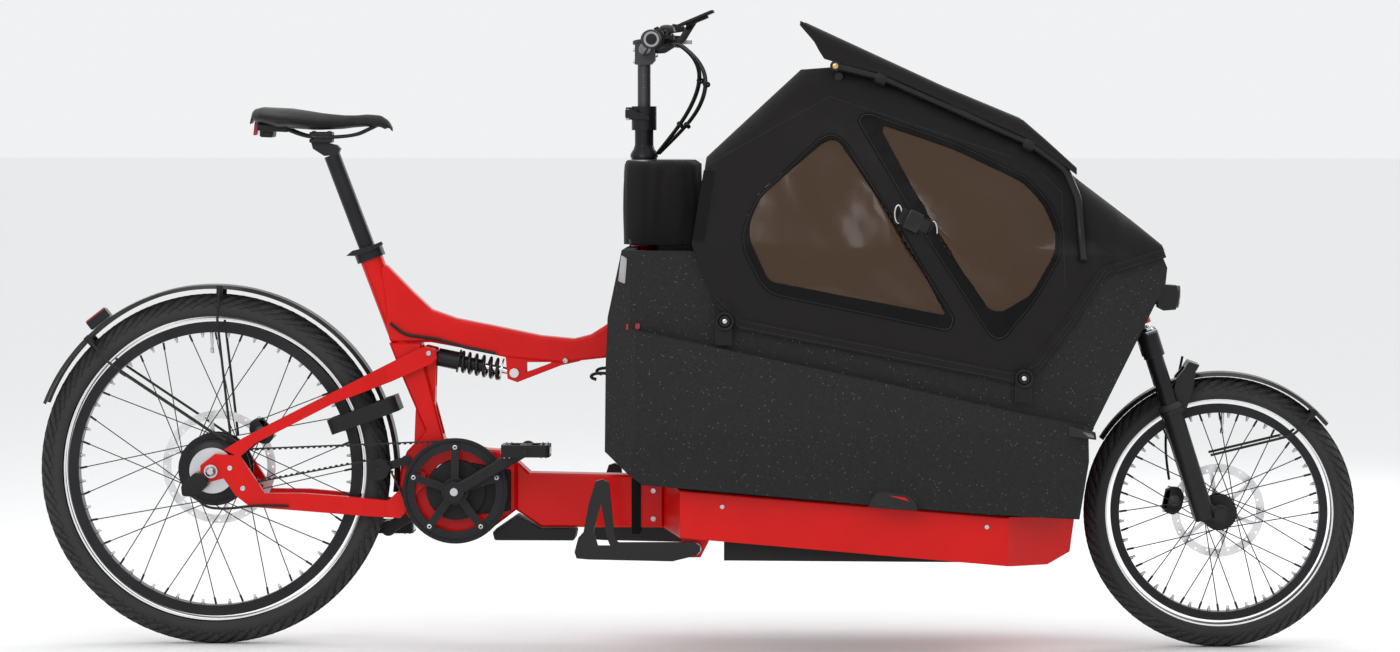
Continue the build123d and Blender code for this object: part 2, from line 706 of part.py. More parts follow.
def arcBand(x, z, radius, wall, half, startAngle, endAngle, crown=9.0):
    """A fender shell about a wheel centre, with turned-in edges."""
    section = Plane.YZ * Polygon((-half, radius - crown), (-half + 8, radius - 2), (0, radius),
                                 (half - 8, radius - 2),
                                 (half, radius - crown), (half - wall, radius - crown),
                                 (half - 9, radius - 2 - wall),
                                 (0, radius - wall), (-half + 9, radius - 2 - wall),
                                 (-half + wall, radius - crown),
                                 align=None)
    band = revolve(section, axis=Axis.Y, revolution_arc=endAngle - startAngle)
    return at(x, z) * (Rot(0, 90 - endAngle, 0) * band)


def makeRearFender():
    """The shell, its wire stays and the lamp on its back."""
    band = arcBand(rearAxleX, rearTyreR, fenderR + 5, fenderWall, fenderHalf, -7.0, 159.0)
    return Compound(children=[band, makeRearLight()] + makeRearStays())


def staySpan(x, z, radius, angle, lowX, lowZ, innerY, outerY):
    """A wire from a fender edge down to a lug beside the axle, on both sides."""
    wayX, wayZ = unit(angle)
    top = (x + radius * wayX, innerY, z + radius * wayZ)
    knee = (x + (radius - 60) * wayX, outerY - 2, z + (radius - 60) * wayZ)
    return bentTube([top, knee, (lowX, outerY, lowZ)], 2.5, [40.0])


def makeRearStays():
    stays = []
    for angle, lowX, lowZ in ((88.0, -893, 400), (134.0, -903, 396)):
        stay = staySpan(rearAxleX, rearTyreR, fenderR - 2, angle, lowX, lowZ, fenderHalf + 3,
                        stayInnerY - 3)
        stays += [stay, mirror(stay, about=Plane.XZ)]
    return stays


def makeRearLight():
    wayX, wayZ = unit(128.0)
    seat = Pos(rearAxleX + (fenderR + 14) * wayX, 0, rearTyreR + (fenderR + 14) * wayZ) * Rot(
        0, -38, 0) * Box(46.0, 34.0, 17.0)
    return seat


lockTilt = 20.1
lockCentreR = 309.0
lockLength = 140.0


def makeRingLock():
    """A flat horseshoe across the wheel, in a plane through the axle."""
    body = Box(lockLength, 128.0, 30.0)
    body = fillet(body.edges().filter_by(Axis.Z), 20.0)
    hollow = Pos(-14, 0, 0) * Box(150.0, 88.0, 40.0)
    body -= fillet(hollow.edges().filter_by(Axis.Z), 16.0)
    wayX, wayZ = unit(lockTilt)
    place = Pos(rearAxleX + lockCentreR * wayX, 0, rearTyreR + lockCentreR * wayZ) * Rot(0, -lockTilt, 0)
    return place * body


def makeCaliper(x, z, rotorR, rotorY, angle, width):
    """A clamp body over the rotor's edge."""
    wayX, wayZ = unit(angle)
    ring = rotorR - 2
    body = Box(38.0, width, 56.0) - Pos(-14, 0, 0) * Box(38.0, rotorThickness + 1.6, 60.0)
    return Pos(x + ring * wayX, rotorY, z + ring * wayZ) * Rot(0, -angle, 0) * body


# ---- shock ----
def onShock(distance, y=0.0):
    point = Vector(shockRearX, 0, shockRearZ) + shockAxis * distance
    return (point.X, y, point.Z)


springStart = 58.0
springEnd = 139.0


def makeShockShaft():
    shaft = rod(onShock(shockLength - 6), onShock(108), shaftR)
    shaft += rod(onShock(springEnd), onShock(springEnd + 3), springR + 3.5)
    shaft += disc(shockFrontX, shockFrontZ, 0, shockEyeR, 24.0)
    return shaft - bore(shockFrontX, shockFrontZ, shockEyeBoltR + hubClearance)


def makeShockBody():
    body = disc(shockRearX, shockRearZ, 0, shockEyeR, 23.0)
    body += rod(onShock(8), onShock(18), 11.0)
    body += rod(onShock(15), onShock(springStart - 3.5), 17.5)
    body += rod(onShock(springStart - 3.5), onShock(springStart - 0.5), springR + 3.5)
    body += rod(onShock(springStart - 1), onShock(104), 12.0)
    body -= rod(onShock(60), onShock(110), shaftR + hubClearance)
    return body - bore(shockRearX, shockRearZ, shockEyeBoltR + shockEyePlay)


def makeSpring():
    height = springEnd - springStart - 2 * springWireR - 1.0
    path = Helix(pitch=height / springTurns, height=height, radius=springR)
    wire = sweep(Plane(origin=path @ 0, z_dir=path % 0) * Circle(springWireR), path=path)
    start = onShock(springStart + springWireR + 0.5)
    return Plane(origin=start, z_dir=shockAxis).location * wire


# ---- seat ----
def makeSeatClamp():
    low = 1.0
    ring = rod(alongSeat(-7), alongSeat(low + 14), seatTubeR + 6, seatTubeR + fitGap)
    ring -= rod(alongSeat(-8), alongSeat(-0.3), seatTubeR + 3)
    ring += rod(alongSeat(-7), alongSeat(-0.3), seatTubeR + 6, seatPostR + 0.3)
    lever = slab([(-672, 752), (-660, 762), (-628, 770), (-604, 780), (-601, 774), (-626, 762),
                  (-656, 752)], 5.0, -33.0)
    return ring + lever + rod((-652, -33, 757), (-652, -20, 757), 4.0)


seatPostDrop = 120.0


def makeSeatPost():
    post = rod(alongSeat(seatPostDrop), alongSeat(-seatPostTop), seatPostR, 12.5)
    head = slab([(-742, 972), (-738, 958), (-716, 944), (-690, 946), (-685, 958), (-692, 965),
                 (-734, 975)], 15.0)
    return post + (head - rod(alongSeat(-100), alongSeat(-seatPostTop + 6), seatPostR))


def makeRails():
    rails = []
    for side in (-1, 1):
        route = [(-786, side * 24, 987), (-762, side * 22, 969.5), (-690, side * 21, 972.5),
                 (-640, side * 16, 993)]
        rails.append(bentTube(route, 3.5, [22.0, 22.0]))
    return rails


def makeSaddleShell():
    side = [(-857, 1018), (-852, 1036), (-834, 1040), (-781, 1037), (-723, 1029), (-636, 1026),
            (-607, 1023),
            (-592, 1013), (-585, 1000), (-588, 995), (-694, 997), (-752, 996), (-790, 1000), (-823, 1011)]
    plan = [(-858, -60), (-835, -98), (-795, -100), (-750, -72), (-690, -38), (-600, -24), (-584, -12),
            (-584, 12), (-600, 24), (-690, 38), (-750, 72), (-795, 100), (-835, 98), (-858, 60)]
    return slab(side, 130.0) & planBand(plan)


def makeSaddle():
    """The padded shell and the two rails under it."""
    shell = makeSaddleShell()
    for rail in makeRails():
        shell += rail
    return shell


# ---- steering ----
def makeColumn():
    tube = rod((columnX, 0, mastBottomZ + 14), (columnX, 0, columnTopZ), columnR, riserR + hubClearance)
    tube += rod((columnX, 0, mastTopZ + 12.5), (columnX, 0, mastTopZ + 16), columnR + 7, riserR + 1)
    return tube + makeColumnCollar()


def makeColumnCollar():
    ring = rod((columnX, 0, columnTopZ - 14), (columnX, 0, collarTopZ), columnR + 6, riserR + hubClearance)
    ears = Pos(columnX - columnR - 9, 0, collarTopZ - 14) * Box(16.0, 15.0, 24.0)
    ears -= rod((columnX, 0, columnTopZ - 20), (columnX, 0, collarTopZ + 1), columnR + 2)
    return ring + ears


leverPinX = columnX - columnR - 11.0
leverPinZ = collarTopZ - 14.0
leverBladeY = columnR + 11.0


def makeHeightLever():
    blade = slab([(leverPinX - 6, leverPinZ + 8), (leverPinX + 6, leverPinZ + 8),
                  (leverPinX + 40, leverPinZ - 6),
                  (leverPinX + 40, leverPinZ - 12), (leverPinX - 6, leverPinZ - 8)], 4.0, -leverBladeY,
                  radius=1.5)
    return blade + rod((leverPinX, 3.5 - leverBladeY, leverPinZ), (leverPinX, -7.9, leverPinZ), 4.0)


riserLowZ = 860.0
stemLowZ = 1120.0


def makeRiser():
    return rod((columnX, 0, riserLowZ), (columnX, 0, stemLowZ + 12), riserR, riserR - 2.5)


def makeStem():
    """The riser tube with the bar clamp on its top."""
    block = slab([(-116, stemLowZ), (-84, stemLowZ), (-77, 1128), (-77, 1160), (-84, 1166), (-112, 1166),
                  (-116, 1160)], 21.0, radius=2.0)
    block += makeRiser()
    return block - rod((-96, -40, 1149), (-96, 40, 1149), barR + fitGap)


def makeBar():
    route = [(-70, -barHalf, 1168), (-80, -150, 1168), (-96, -60, 1149), (-96, 60, 1149), (-80, 150, 1168),
             (-70, barHalf, 1168)]
    return bentTube(route, barR, [70.0, 70.0, 70.0, 70.0], barR - 2.2)


def barPoint(y):
    share = (abs(y) - 150) / (barHalf - 150)
    return (-80 + 10 * share, y, 1168)


def makeGrips():
    grips = []
    for side in (-1, 1):
        inner = barPoint(side * (barHalf - gripLength))
        outer = barPoint(side * barHalf)
        grip = rod(inner, outer, gripR, barR + fitGap)
        wing = Pos(-92, side * (barHalf - 38), 1166) * Box(46.0, 68.0, 11.0)
        wing = fillet(wing.edges().filter_by(Axis.Z), 14.0)
        grip += wing - rod(inner, outer, gripR - 1)
        past = barPoint(side * (barHalf + 4))
        grip += rod(outer, past, gripR)
        grips.append(grip)
    return Compound(children=grips)


perchY = 178.0
leverPinAhead = -42.0


def makePerches():
    perches = []
    for side in (-1, 1):
        centre = barPoint(side * perchY)
        ring = rod(barPoint(side * (perchY - 9)), barPoint(side * (perchY + 9)), barR + 5, barR + fitGap)
        block = slab([(-66, 1156), (-66, 1178), (-34, 1176), (-34, 1152)], 9.0, side * perchY)
        block -= rod(barPoint(side * 100), barPoint(side * 300), barR + 3)
        can = rod((-52, side * (perchY - 40), 1166), (-52, side * (perchY - 4), 1166), 8.5)
        slot = Pos(-39.5, side * perchY, 1164) * Box(29.0, 40.0, 9.6)
        can -= rod(barPoint(side * 100), barPoint(side * 300), barR + 3)
        part = ring + block + can - slot
        part += rod((leverPinAhead, side * perchY, 1153), (leverPinAhead, side * perchY, 1176), 2.5)
        perches.append(part)
    return Compound(children=perches)


def makeBrakeLever(side):
    pinY = side * perchY
    blade = Polygon((-49, pinY - side * 7), (-34, pinY - side * 8), (-26, pinY + side * 14),
                    (-22, pinY + side * 70),
                    (-18, pinY + side * 128), (-24, pinY + side * 132), (-32, pinY + side * 70),
                    (-37, pinY + side * 24), (-49, pinY + side * 8), align=None)
    lever = extrude(Plane.XY.offset(1164.0) * fillet(blade.vertices(), 2.0), amount=3.8, both=True)
    return lever - rod((leverPinAhead, pinY, 1140), (leverPinAhead, pinY, 1190), 2.55)


def makeDisplay():
    plate = slab([(-32, 1198), (36, 1224), (37.5, 1220), (-30, 1192)], 33.0)
    plate = plate + slab([(-10, 1199), (-18, 1194), (-30, 1172), (-52, 1160), (-62, 1152), (-76.9, 1150),
                          (-76.9, 1142), (-58, 1143), (-44, 1152), (-20, 1164), (-8, 1184), (6, 1208)], 6.0)
    return plate


def makeBarCables():
    cables = []
    for side, lift in ((-1, 0.0), (1, 8.0)):
        route = [(-44, side * (perchY - 42), 1166), (-24, side * (perchY - 66), 1152),
                 (0, side * 92, 1128 + lift),
                 (6, side * 66, 1094 + lift), (-6, side * 44, 1056), (-28, side * 28, 1016),
                 (-56, side * 18, 978),
                 (-72, side * 12, 946)]
        cables.append(bentTube(route, 2.5, [24.0, 26.0, 40.0, 60.0, 70.0, 60.0]))
    return Compound(children=cables)


# ---- fork ----
def onLeg(distance, side=0, ahead=0.0):
    point = legTop - steerUp * distance + steerOut * ahead
    return (point.X, side * frontLegY, point.Z)


crownEnd = 30.0
lowerStart = 152.0
lowerEnd = 372.0
legForward = 29.8


def makeForkUpper():
    fork = rod(onSteerer(-6), onSteerer(headTubeLow + headTubeLength + 4), steererR)
    crown = Plane(origin=onLeg(crownEnd - 12), x_dir=(0, 1, 0), z_dir=tuple(steerUp))
    bridge = crown * Box(2 * frontLegY, 40.0, 24.0)
    for side in (-1, 1):
        bridge += rod(onLeg(-3, side), onLeg(46, side), stanchionR + 4.5)
    fork += fillet(bridge.edges().filter_by(Axis.Y), 5.0)
    for side in (-1, 1):
        fork += rod(onLeg(20, side), onLeg(lowerEnd - 70, side), stanchionR)
    return fork


def makeForkLowers():
    legs = []
    for side in (-1, 1):
        leg = rod(onLeg(lowerStart, side), onLeg(lowerEnd, side), lowerLegR)
        leg += rod(onLeg(lowerStart, side), onLeg(lowerStart + 8, side), lowerLegR + 3)
        foot = rod((frontAxleX, side * (frontLegY - 9), frontTyreR),
                   (frontAxleX, side * (frontLegY + 9), frontTyreR), 17.0)
        link = slab([onLegFlat(lowerEnd - 40, 0), onLegFlat(lowerEnd - 14, legForward),
                     onLegFlat(lowerEnd + 14, legForward),
                     onLegFlat(lowerEnd, 0)], 9.0, side * frontLegY)
        leg += foot + link
        leg -= rod(onLeg(lowerStart - 2, side), onLeg(lowerEnd - 16, side), stanchionR + hubClearance)
        legs.append(leg)
    return legs


def onLegFlat(distance, ahead):
    point = legTop - steerUp * distance + steerOut * ahead
    return (point.X, point.Z)


frontFenderR = 272.0
archHalf = 36.0


def makeLowersWhole():
    lowers = makeForkLowers()
    whole = lowers[0] + lowers[1] + makeFrontAxle()
    plate = [(914, 470), (924, 520), (946, 546), (962, 540), (956, 500), (944, 462), (930, 446)]
    for side in (-1, 1):
        cheek = slab(plate, 9.0, side * (archHalf + 11))
        cheek -= rod(onLeg(0, side), onLeg(lowerStart - 1, side), stanchionR + 3)
        whole += cheek
    top = slab([(940, 540), (948, 552), (968, 545), (962, 534)], archHalf + 20)
    top -= disc(frontAxleX, frontTyreR, 0, frontFenderR + 2, 200.0)
    whole += top
    for side in (-1, 1):
        whole -= rod(onLeg(-20, side), onLeg(lowerEnd - 16, side), stanchionR + hubClearance)
    return whole


def makeFrontFender():
    band = arcBand(frontAxleX, frontTyreR, frontFenderR, fenderWall, fenderHalf, 39.5, 148.0)
    return Compound(children=[band] + makeFrontStays())


def makeFrontStays():
    stays = []
    stay = staySpan(frontAxleX, frontTyreR, frontFenderR - 6, 47.0, 990, 372, fenderHalf + 3,
                    frontLegY - 18)
    stays += [stay, mirror(stay, about=Plane.XZ)]
    return stays


def makeFrontAxle():
    axle = rod((frontAxleX, -80, frontTyreR), (frontAxleX, 80, frontTyreR), axleR)
    for side in (-1, 1):
        axle += disc(frontAxleX, frontTyreR, side * 78.0, 12.0, 7.0)
    return axle


# ---- stand ----
def makeStand():
    arm = [(10, 192), (18, 200), (18, 210), (8, 217), (-137, 216), (-144, 223), (-155, 330), (-168, 336),
           (-180, 332), (-193, 290), (-203, 236), (-213, 225), (-220, 198), (-216, 186), (-192, 184),
           (-34, 181)]
    leg = slab(arm, 9.0, -standLegY)
    opening = slab([(-184, 236), (-170, 290), (-158, 224), (-152, 210), (-176, 210)], 30.0, -standLegY)
    leg -= opening
    leg += mirror(leg, about=Plane.XZ)
    shaft = rod((standX, -standLegY, standZ), (standX, standLegY, standZ), standShaftR)
    return leg + shaft


def makeFrameCable():
    route = [(-588, -31, 622), (-560, -29, 600), (-500, -28, 592), (-440, -28, 575), (-384, -28, 564)]
    return bentTube(route, 3.0, [50.0, 90.0, 150.0])


pieces = {
    "seat_tube_frame": makeSeatTubeFrame,
    "top_beam": makeTopBeam,
    "lower_beam": makeLowerBeam,
    "steering_mast": makeMast,
    "mast_bearings": makeMastBearings,
    "front_tray": makeTray,
    "front_down_tube": makeFrontDownTube,
    "motor": makeMotor,
    "battery_packs": makeBatteries,
    "pivot_bolts": makePivotBolts,
    "cargo_box": makeBox,
    "canopy": makeCanopy,
    "canopy_bows": makeBows,
    "seat_cushions": makeCushions,
    "headlight": makeHeadlight,
    "seat_clamp": makeSeatClamp,
    "idler_arm": makeIdlerArm,
    "drive_belt": makeBelt,
    "frame_cable": makeFrameCable,
    "swingarm": makeSwingarm,
    "rear_axle": makeRearAxle,
    "rear_fender": makeRearFender,
    "ring_lock": makeRingLock,
    "rear_caliper": lambda: makeCaliper(rearAxleX, rearTyreR, rearRotorR, rearRotorY, 40.0, 16.0),
    "rear_tyre": lambda: makeTyre(rearAxleX, rearTyreR, rearTyreR),
    "rear_rim": lambda: makeRim(rearAxleX, rearTyreR, rearBeadR, rearRimDepth),
    "rear_spokes": lambda: makeSpokes(
        rearAxleX, rearTyreR, rearBeadR - rearRimDepth, rearFlangeR - 3, rearFlangeY, rearSpokeLead),
    "rear_hub": lambda: makeHub(rearAxleX, rearTyreR, rearHubR, rearFlangeR, rearFlangeY, rearRotorY, 44.0),
    "rear_rotor": lambda: makeRotor(rearAxleX, rearTyreR, rearRotorR, rearRotorY),
    "rear_sprocket": makeSprocket,
    "belt_idler": makeIdler,
    "crankset": makeCrankset,
    "chainring": makeChainring,
    "right_pedal": lambda: makePedal(-1),
    "left_pedal": lambda: makePedal(1),
    "shock_shaft": makeShockShaft,
    "shock_body": makeShockBody,
    "shock_spring": makeSpring,
    "seat_post": makeSeatPost,
    "saddle": makeSaddle,
    "steering_column": makeColumn,
    "height_lever": makeHeightLever,
    "stem": makeStem,
    "handlebar": makeBar,
    "grips": makeGrips,
    "brake_perches": makePerches,
    "right_brake_lever": lambda: makeBrakeLever(-1),
    "left_brake_lever": lambda: makeBrakeLever(1),
    "display": makeDisplay,
    "bar_cables": makeBarCables,
    "fork_upper": makeForkUpper,
    "fork_lowers": makeLowersWhole,
    "front_fender": makeFrontFender,
    "front_caliper": lambda: makeCaliper(frontAxleX, frontTyreR, frontRotorR, frontRotorY, 167.5, 13.0),
    "front_tyre": lambda: makeTyre(frontAxleX, frontTyreR, frontTyreR),
    "front_rim": lambda: makeRim(frontAxleX, frontTyreR, frontBeadR, frontRimDepth),
    "front_spokes": lambda: makeSpokes(
        frontAxleX, frontTyreR, frontBeadR - frontRimDepth, frontFlangeR - 3, frontFlangeY, frontSpokeLead),
    "front_hub": lambda: makeHub(frontAxleX, frontTyreR, frontHubR, frontFlangeR, frontFlangeY,
                                 frontRotorY, 40.0),
    "front_rotor": lambda: makeRotor(frontAxleX, frontTyreR, frontRotorR, frontRotorY),
    "parking_stand": makeStand,
}

for name, make in pieces.items():
    export_step(make(), f"parts/{name}.step")
    print(name)
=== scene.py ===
import math
import bmesh
import bpy
from mathutils import Matrix, Vector, geometry, noise


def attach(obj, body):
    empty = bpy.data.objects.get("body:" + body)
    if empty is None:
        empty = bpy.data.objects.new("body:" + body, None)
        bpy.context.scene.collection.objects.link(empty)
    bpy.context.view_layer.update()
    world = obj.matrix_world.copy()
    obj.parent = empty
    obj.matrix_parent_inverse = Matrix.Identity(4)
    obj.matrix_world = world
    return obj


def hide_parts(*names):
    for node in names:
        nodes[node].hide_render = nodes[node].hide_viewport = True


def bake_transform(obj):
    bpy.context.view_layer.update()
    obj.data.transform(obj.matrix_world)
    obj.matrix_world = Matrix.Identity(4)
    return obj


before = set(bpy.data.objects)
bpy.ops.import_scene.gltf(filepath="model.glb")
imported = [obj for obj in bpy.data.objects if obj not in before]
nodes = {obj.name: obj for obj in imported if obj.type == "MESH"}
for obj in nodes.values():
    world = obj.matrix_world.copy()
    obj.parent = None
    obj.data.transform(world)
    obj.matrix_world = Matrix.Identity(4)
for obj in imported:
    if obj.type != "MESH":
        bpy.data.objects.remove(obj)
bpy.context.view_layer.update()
print("frame loaded,", len(nodes), "CAD nodes")


# the axes that many pieces stand on, as (x, z) in the side view
rearHub = (-0.929, 0.339)
frontHub = (1.008, 0.260)
crankHub = (-0.460, 0.301)
columnX = -0.099


# small helpers for shader and geometry trees
def plug(tree, socket, value):
    if isinstance(value, bpy.types.NodeSocket):
        tree.links.new(value, socket)
    elif value is not None:
        socket.default_value = value


def addNode(tree, kind, settings=None, **inputs):
    made = tree.nodes.new(kind)
    for key, value in (settings or {}).items():
        setattr(made, key, value)
    for key, value in inputs.items():
        plug(tree, made.inputs[key.replace("_", " ")], value)
    return made


def maths(tree, operation, *values):
    made = tree.nodes.new("ShaderNodeMath")
    made.operation = operation
    for socket, value in zip(made.inputs, values):
        plug(tree, socket, value)
    return made.outputs[0]


def remap(tree, value, low, high, outLow=0.0, outHigh=1.0):
    made = tree.nodes.new("ShaderNodeMapRange")
    for socket, given in zip(made.inputs, (value, low, high, outLow, outHigh)):
        plug(tree, socket, given)
    return made.outputs[0]


def newGroup(name, inputs, outputs):
    tree = bpy.data.node_groups.new(name, "ShaderNodeTree")
    for label, kind, value in inputs:
        socket = tree.interface.new_socket(label, in_out="INPUT", socket_type="NodeSocket" + kind)
        socket.default_value = value
    for label, kind in outputs:
        tree.interface.new_socket(label, in_out="OUTPUT", socket_type="NodeSocket" + kind)
    given = tree.nodes.new("NodeGroupInput").outputs
    result = tree.nodes.new("NodeGroupOutput").inputs
    return tree, given, result


def objectPlace(tree):
    return tree.nodes.new("ShaderNodeTexCoord").outputs["Object"]


# fine texture of a surface, and slow changes of its tone
def buildGrainGroup():
    tree, given, result = newGroup("surface grain",
                                   [("Scale", "Float", 900.0), ("Patch Scale", "Float", 14.0)],
                                   [("Height", "Float"), ("Patches", "Float")])
    place = objectPlace(tree)
    fine = addNode(tree, "ShaderNodeTexNoise", Vector=place, Scale=given["Scale"], Detail=2.0)
    slow = addNode(tree, "ShaderNodeTexNoise", Vector=place, Scale=given["Patch Scale"], Detail=4.0)
    plug(tree, result["Height"], fine.outputs[0])
    plug(tree, result["Patches"], remap(tree, slow.outputs[0], 0.3, 0.7))
    return tree


# edge tint that is partly abrasion and partly painted highlight along the edges, and the rounding that a real
# edge has
def buildEdgeGroup():
    tree, given, result = newGroup("edge wear and painted highlight", [("Radius", "Float", 0.001), ("Breakup", "Float", 220.0)],
                                   [("Mask", "Float"), ("Normal", "Vector")])
    rounded = addNode(tree, "ShaderNodeBevel", {"samples": 4}, Radius=given["Radius"])
    shape = tree.nodes.new("ShaderNodeNewGeometry")
    facing = addNode(tree, "ShaderNodeVectorMath", {"operation": "DOT_PRODUCT"})
    plug(tree, facing.inputs[0], rounded.outputs[0])
    plug(tree, facing.inputs[1], shape.outputs["Normal"])
    edge = remap(tree, facing.outputs["Value"], 0.985, 0.90)
    broken = addNode(tree, "ShaderNodeTexNoise", Vector=objectPlace(tree), Scale=given["Breakup"],
                     Detail=3.0)
    plug(tree, result["Mask"], maths(tree, "MULTIPLY", edge, remap(tree, broken.outputs[0], 0.45, 0.62)))
    plug(tree, result["Normal"], rounded.outputs[0])
    return tree


# a thin film of dust on what faces up
def buildDustGroup():
    tree, given, result = newGroup("settled dust", [("Amount", "Float", 0.2), ("Scale", "Float", 30.0)],
                                   [("Mask", "Float")])
    shape = tree.nodes.new("ShaderNodeNewGeometry")
    parts = addNode(tree, "ShaderNodeSeparateXYZ", Vector=shape.outputs["Normal"])
    upward = remap(tree, parts.outputs["Z"], 0.2, 1.0)
    drift = addNode(tree, "ShaderNodeTexNoise", Vector=objectPlace(tree), Scale=given["Scale"], Detail=5.0)
    cover = maths(tree, "MULTIPLY", upward, remap(tree, drift.outputs[0], 0.35, 0.75))
    plug(tree, result["Mask"], maths(tree, "MULTIPLY", cover, given["Amount"]))
    return tree


# warp and weft, one thread up and one down, along a UV in metres
def buildWeaveGroup():
    tree, given, result = newGroup("plain weave", [("Thread", "Float", 0.0009)],
                                   [("Height", "Float"), ("Threads", "Float")])
    spread = tree.nodes.new("ShaderNodeUVMap")
    parts = addNode(tree, "ShaderNodeSeparateXYZ", Vector=spread.outputs[0])
    turns = maths(tree, "DIVIDE", math.pi, given["Thread"])
    warp = maths(tree, "SINE", maths(tree, "MULTIPLY", parts.outputs["X"], turns))
    weft = maths(tree, "SINE", maths(tree, "MULTIPLY", parts.outputs["Y"], turns))
    crossing = maths(tree, "MULTIPLY", warp, weft)
    slub = addNode(tree, "ShaderNodeTexNoise", Vector=spread.outputs[0], Scale=420.0, Detail=2.0)
    plug(tree, result["Height"], maths(tree, "ADD", maths(tree, "MULTIPLY", crossing, 0.35),
                                       slub.outputs[0]))
    plug(tree, result["Threads"], remap(tree, crossing, -1.0, 1.0))
    return tree


# moulded beads of expanded foam, with pale specks
def buildBeadGroup():
    tree, given, result = newGroup("foam beads", [("Bead", "Float", 0.0034),
                                                  ("Speck Share", "Float", 0.05)],
                                   [("Height", "Float"), ("Specks", "Float"), ("Tone", "Float")])
    place = objectPlace(tree)
    scale = maths(tree, "DIVIDE", 1.0, given["Bead"])
    gaps = addNode(tree, "ShaderNodeTexVoronoi", {"feature": "DISTANCE_TO_EDGE"}, Vector=place, Scale=scale)
    cells = addNode(tree, "ShaderNodeTexVoronoi", Vector=place, Scale=scale)
    tone = addNode(tree, "ShaderNodeSeparateColor", Color=cells.outputs["Color"])
    share = maths(tree, "SUBTRACT", 1.0, given["Speck Share"])
    pale = maths(tree, "GREATER_THAN", tone.outputs[0], share)
    core = remap(tree, cells.outputs["Distance"], 0.45, 0.15)
    plug(tree, result["Height"], remap(tree, gaps.outputs["Distance"], 0.0, 0.12))
    plug(tree, result["Specks"], maths(tree, "MULTIPLY", pale, core))
    plug(tree, result["Tone"], tone.outputs[1])
    return tree


grainGroup = buildGrainGroup()
edgeGroup = buildEdgeGroup()
dustGroup = buildDustGroup()
weaveGroup = buildWeaveGroup()
beadGroup = buildBeadGroup()


def useGroup(tree, group, **values):
    made = tree.nodes.new("ShaderNodeGroup")
    made.node_tree = group
    for key, value in values.items():
        plug(tree, made.inputs[key.replace("_", " ")], value)
    return made.outputs


def mixColour(tree, share, first, second):
    made = tree.nodes.new("ShaderNodeMix")
    made.data_type = "RGBA"
    plug(tree, made.inputs[0], share)
    plug(tree, made.inputs[6], first)
    plug(tree, made.inputs[7], second)
    return made.outputs[2]


def solid(colour):
    return (*colour, 1.0)


# one finish: a base coat with its grain, an edge tint (partly abrasion, partly painted highlight) and dust
finishDefaults = {
    "roughness": 0.5, "metallic": 0.0, "coat": 0.0, "coatRoughness": 0.05, "sheen": 0.0, "specular": 0.2,
    "grainScale": 900.0, "grainDepth": 0.00003, "patchScale": 14.0, "tone": 0.12, "roughShift": 0.08,
    "edgeRadius": 0.0008, "wear": 0.0, "wearColour": (0.35, 0.35, 0.36), "dust": 0.05, "weave": 0.0,
    "beads": False, "emission": 0.0,
}


def finish(name, colour, **given):
    look = {**finishDefaults, **given}
    material = bpy.data.materials.new(name)
    material.use_nodes = True
    material.diffuse_color = solid(colour)
    tree = material.node_tree
    surface = tree.nodes["Principled BSDF"]
    grain = useGroup(tree, grainGroup, Scale=look["grainScale"], Patch_Scale=look["patchScale"])
    darker = [part * (1 - look["tone"]) for part in colour]
    lighter = [min(1.0, part * (1 + look["tone"])) for part in colour]
    shade = mixColour(tree, grain["Patches"], solid(darker), solid(lighter))
    height, depth = grain["Height"], look["grainDepth"]
    rough = remap(tree, grain["Patches"], 0.0, 1.0, look["roughness"] - look["roughShift"],
                  look["roughness"] + look["roughShift"])
    normal = None
    if look["beads"]:
        beads = useGroup(tree, beadGroup)
        shade = mixColour(tree, maths(tree, "MULTIPLY", beads["Tone"], 0.5), shade,
                          solid([c * 1.7 for c in colour]))
        shade = mixColour(tree, beads["Specks"], shade, (0.11, 0.11, 0.11, 1.0))
        height, depth = beads["Height"], 0.0003
    if look["weave"] > 0:
        cloth = useGroup(tree, weaveGroup, Thread=look["weave"])
        shade = mixColour(tree, maths(tree, "MULTIPLY", cloth["Threads"], 0.4), shade,
                          solid([c * 1.8 for c in colour]))
        height, depth = cloth["Height"], look["weave"] * 0.3
    if look["edgeRadius"] > 0:
        edges = useGroup(tree, edgeGroup, Radius=look["edgeRadius"])
        normal = edges["Normal"]
        # lighter tint on rounded edges: partly abrasion, partly a painted highlight along the edges
        if look["wear"] > 0:
            edgeWearAndHighlightShare = maths(tree, "MULTIPLY", edges["Mask"], look["wear"])
            shade = mixColour(tree, edgeWearAndHighlightShare, shade, solid(look["wearColour"]))
    if look["dust"] > 0:
        film = useGroup(tree, dustGroup, Amount=look["dust"])
        shade = mixColour(tree, film["Mask"], shade, (0.45, 0.43, 0.40, 1.0))
        rough = maths(tree, "ADD", rough, maths(tree, "MULTIPLY", film["Mask"], 0.5))
    bump = addNode(tree, "ShaderNodeBump", Height=height, Distance=depth, Normal=normal)
    plug(tree, surface.inputs["Base Color"], shade)
    plug(tree, surface.inputs["Roughness"], rough)
    plug(tree, surface.inputs["Normal"], bump.outputs[0])
    surface.inputs["Metallic"].default_value = look["metallic"]
    surface.inputs["Coat Weight"].default_value = look["coat"]
    surface.inputs["Coat Roughness"].default_value = look["coatRoughness"]
    surface.inputs["Sheen Weight"].default_value = look["sheen"]
    surface.inputs["Sheen Roughness"].default_value = 0.4
    surface.inputs["Specular IOR Level"].default_value = look["specular"]
    # a painted glow in the surface's own colour, though the part gives no light
    if look["emission"] > 0:
        surface.inputs["Emission Color"].default_value = solid(colour)
        surface.inputs["Emission Strength"].default_value = look["emission"]
    return material
